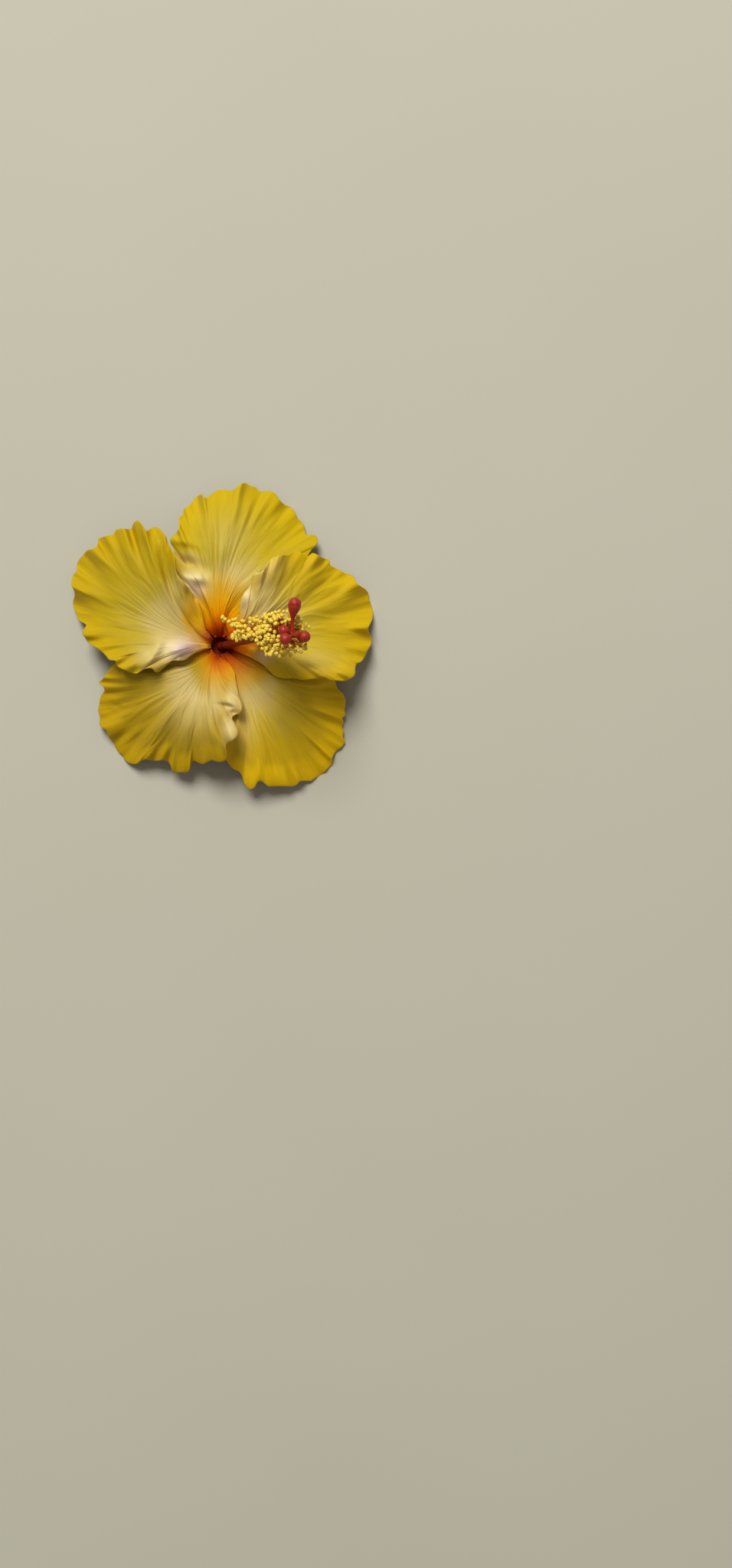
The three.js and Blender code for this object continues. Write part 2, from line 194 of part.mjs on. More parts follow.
// Stamen tufts: where a tuft leaves the column, and its anthers.
const TUFTS = [
  { root: [3.66, 2.85, 15.6], anthers: [[2.24, 9.33, 21.94], [3.1, 8.42, 22.98]] },
  { root: [9.85, 1.68, 20.28], anthers: [[14.88, 0.88, 22.84], [16.84, 2.14, 23.53], [16.01, 2.87, 21.85], [15.06, 4.3, 24.31]] },
  { root: [7.3, 2.68, 21.67], anthers: [[12.28, 6.02, 24.71], [4.46, 7.56, 22.77], [7.39, 7.66, 28.77], [6.35, 5.25, 30.66]] },
  { root: [13.11, 0.28, 26.01], anthers: [[20.8, -4.36, 31.04], [16.84, -1.04, 27.14], [18.97, -0.35, 28.49], [17.57, 2.24, 27.16], [19.35, 3.08, 28.72]] },
  { root: [11.36, 2.49, 27.06], anthers: [[17.37, 3.18, 29.23], [18, 5.35, 26.72], [15.38, 5.28, 28.5], [7.87, 1.55, 35.1], [7.18, 0.2, 37.11]] },
  { root: [16.47, -0.28, 32.06], anthers: [[20.63, -4.38, 37.19], [19.74, -3.34, 33.82], [22.24, -2.13, 34.67], [24.98, 0.64, 34.01], [21.2, 1.07, 32.43], [21.41, 4.47, 32.06]] },
  { root: [14.71, 2.22, 33.18], anthers: [[21.35, 4.83, 37.44], [20.59, 5.59, 35.3], [18.71, 7.67, 32.97], [11.23, 5.57, 40.27], [9.56, 4.7, 38.12]] },
  { root: [12.92, 0.5, 34.17], anthers: [[12.27, 3.36, 43.83], [9.27, 2.73, 39.37], [11.5, 1.56, 44.12], [9.77, 0.55, 39.81], [8.88, -0.94, 39.5]] },
  { root: [20.17, -0.46, 38.19], anthers: [[26.16, -4.28, 40.85], [25.36, -3.46, 37.16], [24.22, -1.23, 37.33], [25.15, 0.17, 40.16], [27.18, 2.61, 38.35]] },
  { root: [18.63, 1.95, 39.26], anthers: [[23.63, 2.29, 39.3], [24.8, 3.03, 42.14], [24.01, 6.92, 43.05], [16.19, 4.75, 48.37], [14.22, 3.59, 45.33]] },
  { root: [16.67, -0.09, 40.41], anthers: [[13.78, 1.77, 46.92], [14.12, -0.32, 48.39], [11.83, -0.33, 44.87], [14.71, -1.28, 46.39]] },
  { root: [23.29, -0.88, 43.09], anthers: [[24.88, -4.65, 43.69], [27, -3.54, 44.74], [28.18, -2.51, 45.56], [28.29, 0.86, 44.97], [30.01, 2.77, 44.01]] },
  { root: [21.86, 1.73, 44.17], anthers: [[25.68, 3.44, 44.32], [25.76, 5.55, 44.17], [26.11, 4.81, 46.18], [19.55, 6.59, 49.85], [20.99, 6.36, 51.65]] },
  { root: [20.12, 0.6, 45.29], anthers: [[19.89, 4.76, 49.79], [17.96, 4.18, 50.95], [17.26, 2.87, 48.73], [16.4, 1.68, 50.93], [18.03, 0.81, 53.48]] },
  { root: [19.98, -0.91, 45.33], anthers: [[17.29, -0.03, 51.74], [15.83, -0.34, 51.03], [17.44, -3.31, 51.92], [19.35, -3.87, 51.02], [18.99, -5.19, 52.5]] },
  { root: [23.63, 1.44, 48.35], anthers: [[25.61, 5.27, 48.89], [23.3, 7.27, 51.49], [22.28, 6.53, 53.42], [19.73, 3.59, 53.01]] },
  { root: [22.7, 0.41, 48.98], anthers: [[20.87, 2.01, 55.46], [19.13, 2.22, 54.29], [23.22, 0.17, 55.01], [19.63, 0.24, 55.78], [18.33, -1.53, 54.03]] },
  { root: [22.57, -1.09, 49], anthers: [[21.81, -1.4, 54.78], [20.09, -2.37, 56.07], [22.2, -2.87, 55.94], [18.86, -3.86, 53.51], [22.67, -2.99, 53.82]] },
  { root: [23.31, -2.28, 48.42], anthers: [[20.38, -5.37, 54.32], [20.69, -4.63, 52.87], [20.01, -6.22, 52.46], [22.26, -6.63, 55.3], [21.45, -6.83, 53.39]] },
  { root: [24.52, -2.51, 47.53], anthers: [[23.88, -6.74, 53.17], [25.64, -6.65, 52.31], [26.82, -6.42, 48.79], [28.7, -5.1, 50.29], [28.65, -4.7, 48.44]] },
  { root: [25.77, -1.1, 46.68], anthers: [[29.41, -4.23, 46.84], [31.62, -4.01, 47.83], [30.81, -1.86, 44.07], [30.31, -1.45, 47.44], [32.95, -0.65, 46.63]] },
  { root: [25.56, 0.73, 46.91], anthers: [[30.8, 0.85, 45.67], [30.06, 1.51, 47.78], [31.9, 5.21, 48.3], [30.16, 3.03, 49.6], [27.27, 3.58, 47.2]] },
  { root: [27.76, 0.51, 49.73], anthers: [[34.55, 2.52, 48.83], [32.48, 1.4, 50.61], [33.54, 3.48, 48.02], [31.6, 3.2, 51.32]] },
  { root: [26.78, 1.39, 50.54], anthers: [[30.99, 5.91, 50.48], [30.4, 4.6, 51.81], [27.52, 7.44, 52.37], [28.4, 6.3, 54.24], [28.28, 4.13, 54.35]] },
  { root: [25.6, 1.16, 51.45], anthers: [[26.35, 7.05, 55.48], [24.36, 5.99, 54.66], [25.79, 5.6, 56.75], [25.67, 3.54, 54.95], [23.13, 5.13, 56.36]] },
  { root: [24.84, -0.03, 52], anthers: [[24.18, 2.82, 55.85], [22.31, 3.57, 57.52]] },
  { root: [24.91, -1.54, 51.87], anthers: [[23.07, -1.63, 57.32], [24.35, -2.97, 57.3], [23.5, -4.83, 57.95], [24.6, -5.75, 56.36]] },
  { root: [25.77, -2.55, 51.15], anthers: [[25.85, -4.73, 55.7], [23.88, -7.25, 56.38], [25.06, -5.92, 54.68], [26.6, -6.42, 54.49], [27.61, -5.76, 53.07]] },
  { root: [27.65, -1.84, 49.71], anthers: [[30.31, -5.24, 51.47], [32.87, -4.66, 49.88], [31.08, -3.25, 49.62], [33.41, -3.43, 48.07]] },
];

const STIGMAS = [
  { name: 'stigma_1', head: [30.13, 9.36, 57.5], radius: 2.15 },
  { name: 'stigma_2', head: [27.08, -2.77, 60.3], radius: 1.95 },
  { name: 'stigma_3', head: [26.37, 0.41, 57], radius: 1.85 },
  { name: 'stigma_4', head: [33.47, -1.7, 57.5], radius: 1.95 },
  { name: 'stigma_5', head: [32.59, -1.39, 52.3], radius: 1.8 },
];

// ---------------------------------------------------------------- colours
const paint = (color, roughness) => new THREE.MeshStandardMaterial({ color, roughness, metalness: 0 });

// ---------------------------------------------------------------- curves
const sst = (x, a, b) => { const t = Math.min(1, Math.max(0, (x - a) / (b - a))); return t * t * (3 - 2 * t); };

// Cubic through the points (t[i], y[i]), with finite-difference slopes.
function curve(t, y) {
  const n = t.length;
  const m = y.map((v, i) => {
    const a = Math.max(0, i - 1), b = Math.min(n - 1, i + 1);
    return (y[b] - y[a]) / (t[b] - t[a]);
  });
  return (x) => {
    let i = 0;
    while (i < n - 2 && x >= t[i + 1]) i++;
    const h = t[i + 1] - t[i], f = (x - t[i]) / h;
    return (2 * f ** 3 - 3 * f ** 2 + 1) * y[i] + (f ** 3 - 2 * f ** 2 + f) * h * m[i]
      + (-2 * f ** 3 + 3 * f ** 2) * y[i + 1] + (f ** 3 - f ** 2) * h * m[i + 1];
  };
}
const even = (n) => Array.from({ length: n }, (_, i) => -1 + (2 * i) / (n - 1));
const profileCurve = curve(PROFILE_R, PROFILE_Z);
const profile = (r) => profileCurve(Math.min(r, 64));

// From the plan level to height z along the line to the apex.
function carry(x, y, z) {
  const f = (APEX[2] - z) / (APEX[2] - PLAN_Z);
  return [APEX[0] + (x - APEX[0]) * f, APEX[1] + (y - APEX[1]) * f, z];
}

// ---------------------------------------------------------------- solids
function fromMesh(positions, index) {
  const g = new THREE.BufferGeometry();
  g.setAttribute('position', new THREE.Float32BufferAttribute(positions, 3));
  g.setIndex(index);
  g.computeVertexNormals();
  return g;
}

// Closed sheet between two faces given on the same (rows+1) x (columns+1) grid.
// top and bottom give a point [x, y, z] for (row, column); mirrored is for a sheet whose
// columns run clockwise.
function sheet(rows, columns, top, bottom, mirrored = false) {
  const p = [], idx = [];
  const w = columns + 1, half = (rows + 1) * w;
  for (const face of [top, bottom]) {
    for (let i = 0; i <= rows; i++) for (let j = 0; j <= columns; j++) p.push(...face(i, j));
  }
  const quad = (a, b, c, d) => (mirrored ? idx.push(a, c, b, a, d, c) : idx.push(a, b, c, a, c, d));
  for (let i = 0; i < rows; i++) for (let j = 0; j < columns; j++) {
    const a = i * w + j, b = a + w, c = b + 1, d = a + 1;
    quad(a, b, c, d);
    quad(half + a, half + d, half + c, half + b);
  }
  for (let j = 0; j < columns; j++) {
    quad(j, j + 1, half + j + 1, half + j);
    const e = rows * w + j;
    quad(e + 1, e, half + e, half + e + 1);
  }
  for (let i = 0; i < rows; i++) {
    const a = i * w, b = a + w;
    quad(b, a, half + a, half + b);
    quad(a + columns, b + columns, half + b + columns, half + a + columns);
  }
  return fromMesh(p, idx);
}

// Round bar along a centre line with its own radius at each station.
function bar(centres, radii, sides) {
  const p = [], idx = [];
  const up = new THREE.Vector3(0, 1, 0);
  centres.forEach((c, i) => {
    const a = centres[Math.max(0, i - 1)], b = centres[Math.min(centres.length - 1, i + 1)];
    const d = new THREE.Vector3().subVectors(b, a).normalize();
    const x = new THREE.Vector3().crossVectors(up, d).normalize();
    const y = new THREE.Vector3().crossVectors(d, x);
    for (let k = 0; k < sides; k++) {
      const t = (2 * Math.PI * k) / sides;
      const v = c.clone().addScaledVector(x, radii[i] * Math.cos(t)).addScaledVector(y, radii[i] * Math.sin(t));
      p.push(v.x, v.y, v.z);
    }
  });
  const n = centres.length;
  for (let i = 0; i < n - 1; i++) for (let k = 0; k < sides; k++) {
    const a = i * sides + k, b = i * sides + ((k + 1) % sides), c = b + sides, d = a + sides;
    idx.push(a, b, c, a, c, d);
  }
  const first = p.length / 3; p.push(centres[0].x, centres[0].y, centres[0].z);
  const last = first + 1; p.push(centres[n - 1].x, centres[n - 1].y, centres[n - 1].z);
  for (let k = 0; k < sides; k++) {
    const m = (k + 1) % sides;
    idx.push(first, m, k, last, (n - 1) * sides + k, (n - 1) * sides + m);
  }
  return fromMesh(p, idx);
}

const vec = (a) => new THREE.Vector3(a[0], a[1], a[2]);
const wasm = await Module();
wasm.setup();
const { Manifold, Mesh } = wasm;

function solid(geometry) {
  const g = geometry.clone();
  g.deleteAttribute('normal');
  g.deleteAttribute('uv');
  const m = mergeVertices(g, 1e-5);
  return new Manifold(new Mesh({
    numProp: 3,
    vertProperties: new Float32Array(m.attributes.position.array),
    triVerts: new Uint32Array(m.index.array),
  }));
}
function unite(geometries) {
  let s = solid(geometries[0]);
  for (const g of geometries.slice(1)) s = s.add(solid(g));
  const m = s.getMesh();
  return fromMesh(Array.from(m.vertProperties), Array.from(m.triVerts));
}

// Rod from a to b: a cylinder turned onto the line between them.
function rod(a, b, radius, sides) {
  const d = new THREE.Vector3().subVectors(b, a);
  const g = new THREE.CylinderGeometry(radius, radius, d.length(), sides, 1);
  g.applyQuaternion(new THREE.Quaternion().setFromUnitVectors(new THREE.Vector3(0, 1, 0), d.clone().normalize()));
  g.translate((a.x + b.x) / 2, (a.y + b.y) / 2, (a.z + b.z) / 2);
  return g;
}

// ---------------------------------------------------------------- petals
function petalSurface(petal) {
  const { margin } = petal;
  const along = [0];
  for (let i = 1; i < margin.length; i++) {
    along.push(along[i - 1] + Math.hypot(margin[i][0] - margin[i - 1][0], margin[i][1] - margin[i - 1][1]));
  }
  const t = along.map((d) => (2 * d) / along[along.length - 1] - 1);
  const mx = curve(t, margin.map((m) => m[0]));
  const my = curve(t, margin.map((m) => m[1]));
  const lift = curve(t, margin.map((m) => m[2]));
  const folds = petal.folds.map((v) => curve(even(v.length), v));
  const axis = THREE.MathUtils.degToRad(petal.axis);

  return (u, s) => {
    // Fan line from the claw arc to the margin: a quadratic Bezier.
    const a = THREE.MathUtils.degToRad(petal.baseFrom + ((petal.baseTo - petal.baseFrom) * (s + 1)) / 2);
    const bx = CLAW_RADIUS * Math.cos(a), by = CLAW_RADIUS * Math.sin(a);
    const ex = mx(s), ey = my(s);
    let dx = 0.55 * Math.cos(axis) + 0.45 * Math.cos(a), dy = 0.55 * Math.sin(axis) + 0.45 * Math.sin(a);
    const l = Math.hypot(ex - bx, ey - by) * 0.42 / Math.hypot(dx, dy);
    const cx = bx + dx * l, cy = by + dy * l, v = 1 - u;
    const x = v * v * bx + 2 * u * v * cx + u * u * ex;
    const y = v * v * by + 2 * u * v * cy + u * u * ey;
    const r = Math.hypot(x, y);

    const d = lift(s), near = Math.min(1.7, Math.max(-1.7, d));
    const [w0, w1, w2, w3] = petal.window;
    const w = sst(s, w0, w1) * (1 - sst(s, w2, w3));
    let z = profile(r) + near * sst(r, 2.9, 4.7) + (d - near) * sst(u, 0.1, 0.7)
      - petal.drop * sst(r, FALL_FROM, FALL_TO);
    folds.forEach((f, i) => { z += w * f(s) * sst(u, ...RISES[i]); });
    for (const [px, py, ax, ay, turn, h] of petal.swells) {
      const c = Math.cos(THREE.MathUtils.degToRad(turn)), n = Math.sin(THREE.MathUtils.degToRad(turn));
      z += h * Math.exp(-((((x - px) * c + (y - py) * n) / ax) ** 2) - ((((px - x) * n + (y - py) * c) / ay) ** 2));
    }
    return carry(x, y, z);
  };
}

function petalGeometry(petal) {
  const surface = petalSurface(petal);
  const rowAt = (i) => { const f = i / PETAL_ROWS; return 1 - (1 - f) ** 1.15; };
  const colAt = (j) => -1 + (2 * j) / PETAL_COLUMNS;
  const top = (i, j) => surface(rowAt(i), colAt(j));
  const bottom = (i, j) => {
    const u = rowAt(i), s = colAt(j), e = 0.004;
    const p = surface(u, s);
    const a = vec(surface(Math.min(1, u + e), s)).sub(vec(surface(Math.max(0, u - e), s)));
    const b = vec(surface(u, Math.min(1, s + e))).sub(vec(surface(u, Math.max(-1, s - e))));
    const n = a.cross(b).normalize();
    const level = Math.min(1, Math.max(0.5, Math.abs(n.z)));
    const t = (PETAL_BASE_T - (PETAL_BASE_T - PETAL_EDGE_T) * sst(u, 0.55, 1)) / level;
    return [p[0], p[1], Math.max(0, p[2] - t)];
  };
  return sheet(PETAL_ROWS, PETAL_COLUMNS, top, bottom, petal.baseTo < petal.baseFrom);
}

// ---------------------------------------------------------------- column
const c0 = vec(COLUMN_START), c2 = vec(COLUMN_END);
const cm = vec(COLUMN_MIDDLE).multiplyScalar(2).addScaledVector(c0, -0.5).addScaledVector(c2, -0.5);
const columnCurve = new THREE.QuadraticBezierCurve3(c0, cm, c2);
const columnRadius = (t) => COLUMN_BASE_R - (COLUMN_BASE_R - COLUMN_TIP_R - 0.1) * Math.min(1, t / 0.4) - 0.1 * t;

function columnGeometry() {
  const centres = [], radii = [];
  for (let i = 0; i <= COLUMN_STEPS; i++) {
    const t = (COLUMN_TOP * i) / COLUMN_STEPS;
    centres.push(columnCurve.getPoint(t)); radii.push(columnRadius(t));
  }
  return bar(centres, radii, COLUMN_SIDES);
}

// ---------------------------------------------------------------- stamens
// One stamen: a thin filament that ends in a small pointed anther, turned about its length.
function stamen(root, tip) {
  const d = new THREE.Vector3().subVectors(tip, root), L = d.length();
  const outline = [[0, 0], [FILAMENT_R, 0], [FILAMENT_R, L - ANTHER_R], [ANTHER_R, L], [0, L + ANTHER_R]];
  const g = new THREE.LatheGeometry(outline.map(([x, y]) => new THREE.Vector2(x, y)), 4);
  g.applyQuaternion(new THREE.Quaternion().setFromUnitVectors(new THREE.Vector3(0, 1, 0), d.normalize()));
  return g.translate(root.x, root.y, root.z);
}

function tuftGeometry(tuft) {
  const root = vec(tuft.root);
  return unite([
    new THREE.OctahedronGeometry(PAD_R, 0).translate(root.x, root.y, root.z),
    ...tuft.anthers.map((a) => stamen(root, vec(a))),
  ]);
}

// ---------------------------------------------------------------- style and stigmas
const hub = vec(HUB);
function styleGeometry() {
  const end = columnCurve.getPoint(COLUMN_TOP);
  const d = new THREE.Vector3().subVectors(hub, end).normalize();
  const start = end.clone().addScaledVector(d, 0.35);
  return unite([rod(start, hub, 0.85, 12), new THREE.IcosahedronGeometry(HUB_R, 1).translate(hub.x, hub.y, hub.z)]);
}

// A stalk that swells into a pear-shaped head; the profile is turned about its own length.
function stigmaGeometry(stigma) {
  const head = vec(stigma.head), d = new THREE.Vector3().subVectors(head, hub);
  const L = d.length(), R = stigma.radius, from = HUB_R + 0.34;
  d.normalize();
  const pts = [[0, from], [STALK_R * 0.9, from]];
  const neck = L - R * (L > 8 ? 2.3 : 1.25);
  if (neck > from + 0.4) pts.push([STALK_R, neck]);
  if (L > 8) pts.push([R * 0.42, L - R * 1.5], [R * 0.8, L - R * 0.68]);
  else pts.push([R * 0.72, L - R * 0.72]);
  pts.push([R, L], [R * 0.85, L + R * 0.55], [R * 0.45, L + R * 0.9], [0, L + R]);
  const ordered = pts.filter((q, i) => i < 2 || q[1] > pts[1][1] + 0.05);
  const g = new THREE.LatheGeometry(ordered.map(([x, y]) => new THREE.Vector2(x, y)), 10);
  g.applyQuaternion(new THREE.Quaternion().setFromUnitVectors(new THREE.Vector3(0, 1, 0), d));
  g.translate(hub.x, hub.y, hub.z);
  g.deleteAttribute('normal'); g.deleteAttribute('uv');
  // The lathe repeats its seam and its poles; solid() welds them.
  const m = solid(g).getMesh();
  return fromMesh(Array.from(m.vertProperties), Array.from(m.triVerts));
}

// ---------------------------------------------------------------- calyx and bracts
// Upper face of the calyx: a well round the column's foot, then close under the petals.
function cup(r) {
  const gap = CALYX_GAP[0] + (CALYX_GAP[1] - CALYX_GAP[0]) * sst(r, 4.5, 9);
  return WELL_Z + (profile(r) - gap - WELL_Z) * Math.min(1, Math.max(0, (r - WELL_R) / 0.55));
}

// Cup with five pointed lobes that hugs the underside of the petals.
function calyxGeometry() {
  const n = CALYX_STEPS;
  const edge = (k) => {
    const f = Math.abs(((5 * k) / n) % 1 - 0.5) * 2;      // 0 between lobes, 1 at a lobe's tip
    return CALYX_CUP_R - 1.2 + CALYX_LOBE * f ** 1.4;
  };
  const p = [], idx = [];
  const inner = [WELL_R, WELL_R + 0.55, FOOT_R - 0.02, FOOT_R + 0.1], outer = 4;
  const rings = inner.length + outer;
  const last = inner[inner.length - 1];
  const ring = (i, k) => (i <= inner.length ? inner[i - 1] : last + ((edge(k) - last) * (i - inner.length)) / outer);
  // centre points
  p.push(0, 0, cup(0), 0, 0, 0);
  for (let i = 1; i <= rings; i++) for (let k = 0; k < n; k++) {
    const r = ring(i, k), a = (2 * Math.PI * k) / n + 0.22;
    const z = cup(r), x = r * Math.cos(a), y = r * Math.sin(a);
    const below = r < FOOT_R ? 0 : Math.max(0, z - CALYX_T * 1.35);
    p.push(x, y, z, x, y, below);
  }
  const T = (i, k) => (i === 0 ? 0 : 2 + 2 * ((i - 1) * n + (k % n)));
  for (let k = 0; k < n; k++) {
    idx.push(T(0, 0), T(1, k), T(1, k + 1));
    idx.push(T(0, 0) + 1, T(1, k + 1) + 1, T(1, k) + 1);
    for (let i = 1; i < rings; i++) {
      const a = T(i, k), b = T(i + 1, k), c = T(i + 1, k + 1), d = T(i, k + 1);
      idx.push(a, b, c, a, c, d, a + 1, d + 1, c + 1, a + 1, c + 1, b + 1);
    }
    const a = T(rings, k), b = T(rings, k + 1);
    idx.push(a, a + 1, b + 1, a, b + 1, b);
  }
  return fromMesh(p, idx);
}

// Narrow blade that leaves the foot of the calyx and arches outwards below it.
function bractGeometry(i) {
  const a = (2 * Math.PI * i) / BRACTS + 0.35;
  const rows = 7, cols = 2;
  const face = (down) => (r, c) => {
    const u = r / rows;
    const out = FOOT_R + 0.25 + BRACT_LENGTH * u;
    const w = BRACT_WIDTH * Math.sin(Math.PI * (0.16 + 0.84 * u) ** 0.85) ** 0.8 * 0.5 + 0.12;
    const side = (c / cols - 0.5) * 2 * w;
    const under = cup(out) - CALYX_T * 1.35 - 1.3;
    const z = Math.min(Math.max(1.1, under * 0.42), 3.6) + 0.22 * (side / w) ** 2 - (down ? BRACT_T * (1 - 0.35 * u) : 0);
    return [out * Math.cos(a) - side * Math.sin(a), out * Math.sin(a) + side * Math.cos(a), Math.max(0.02, z)];
  };
  return sheet(rows, cols, face(false), face(true));
}

// ---------------------------------------------------------------- the flower
const flower = new THREE.Group();
flower.name = 'hibiscus_flower';
const body = new THREE.Group();
body.position.set(THROAT[0], THROAT[1], 0);
flower.add(body);
const add = (name, geometry, material) => {
  const mesh = new THREE.Mesh(geometry, material);
  mesh.name = name;
  body.add(mesh);
};

for (const petal of PETALS) add(petal.name, petalGeometry(petal), paint(0xe0b92e, 0.6));
add('staminal_column', columnGeometry(), paint(0x6e1a06, 0.5));
TUFTS.forEach((tuft, i) => add(`stamens_${String(i + 1).padStart(2, '0')}`, tuftGeometry(tuft), paint(0xe6c24a, 0.7)));
add('style', styleGeometry(), paint(0x7a1606, 0.45));
for (const stigma of STIGMAS) add(stigma.name, stigmaGeometry(stigma), paint(0x9a1c16, 0.45));
add('calyx', calyxGeometry(), paint(0x5f7a34, 0.7));
for (let i = 0; i < BRACTS; i++) add(`bract_${i + 1}`, bractGeometry(i), paint(0x55702c, 0.7));

export default flower;
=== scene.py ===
# Looks of the hibiscus flower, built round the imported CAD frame.
# Everything is laid out in millimetres in the part's own frame and scaled to metres at the end.
import bpy
import math
import numpy as np
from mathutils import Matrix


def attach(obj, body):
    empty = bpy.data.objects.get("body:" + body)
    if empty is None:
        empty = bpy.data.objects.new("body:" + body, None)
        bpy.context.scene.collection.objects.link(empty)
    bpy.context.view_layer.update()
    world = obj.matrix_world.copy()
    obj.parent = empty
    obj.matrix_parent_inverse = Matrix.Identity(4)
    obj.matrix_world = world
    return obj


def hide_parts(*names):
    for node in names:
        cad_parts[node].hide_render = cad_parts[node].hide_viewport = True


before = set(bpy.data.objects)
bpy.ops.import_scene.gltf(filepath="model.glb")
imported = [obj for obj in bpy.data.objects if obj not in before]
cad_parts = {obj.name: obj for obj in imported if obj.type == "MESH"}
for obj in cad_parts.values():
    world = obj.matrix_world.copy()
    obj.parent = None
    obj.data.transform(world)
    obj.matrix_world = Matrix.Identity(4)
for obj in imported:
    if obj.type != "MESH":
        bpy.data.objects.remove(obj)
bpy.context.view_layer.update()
MM = 0.001

# ------------------------------------------------------------------ shared dimensions (mm)
THROAT = np.array([-0.15, -4.08])
APEX = np.array([54.05, -51.2, 512.0])
PLAN_Z = 12.0
PROFILE_R = np.array([0, 3.2, 5, 8, 12, 18, 26, 34, 42, 50, 57, 64])
PROFILE_Z = np.array([5, 8, 10.3, 13.3, 15.9, 18.2, 19.3, 18.8, 16, 11.5, 6.3, 0.8])
CLAW_RADIUS = 3.3
PETAL_BASE_T, PETAL_EDGE_T = 0.80, 0.55
FALL_FROM, FALL_TO = 30.0, 60.0
RISES = ((0.25, 0.7), (0.42, 0.88), (0.68, 1), (0.36, 0.66), (0.85, 1))     # where each set of folds grows, claw 0 to margin 1
COLUMN = [np.array([-0.45, 0.45, 5.26]), np.array([15.55, 0.06, 34.57]), np.array([28.62, -0.75, 53.5])]
COLUMN_TOP = 0.965
HUB = np.array([29.21, -0.78, 54.18])
HUB_R = 1.22
ANTHER_R = 0.72
EXTRA_ANTHERS = 2
CALYX_GAP, CALYX_T, CALYX_CUP_R, CALYX_LOBE = (3.2, 4.5), 0.95, 9.0, 5.0
WELL_Z, WELL_R, FOOT_R = 4.5, 2.9, 4.4

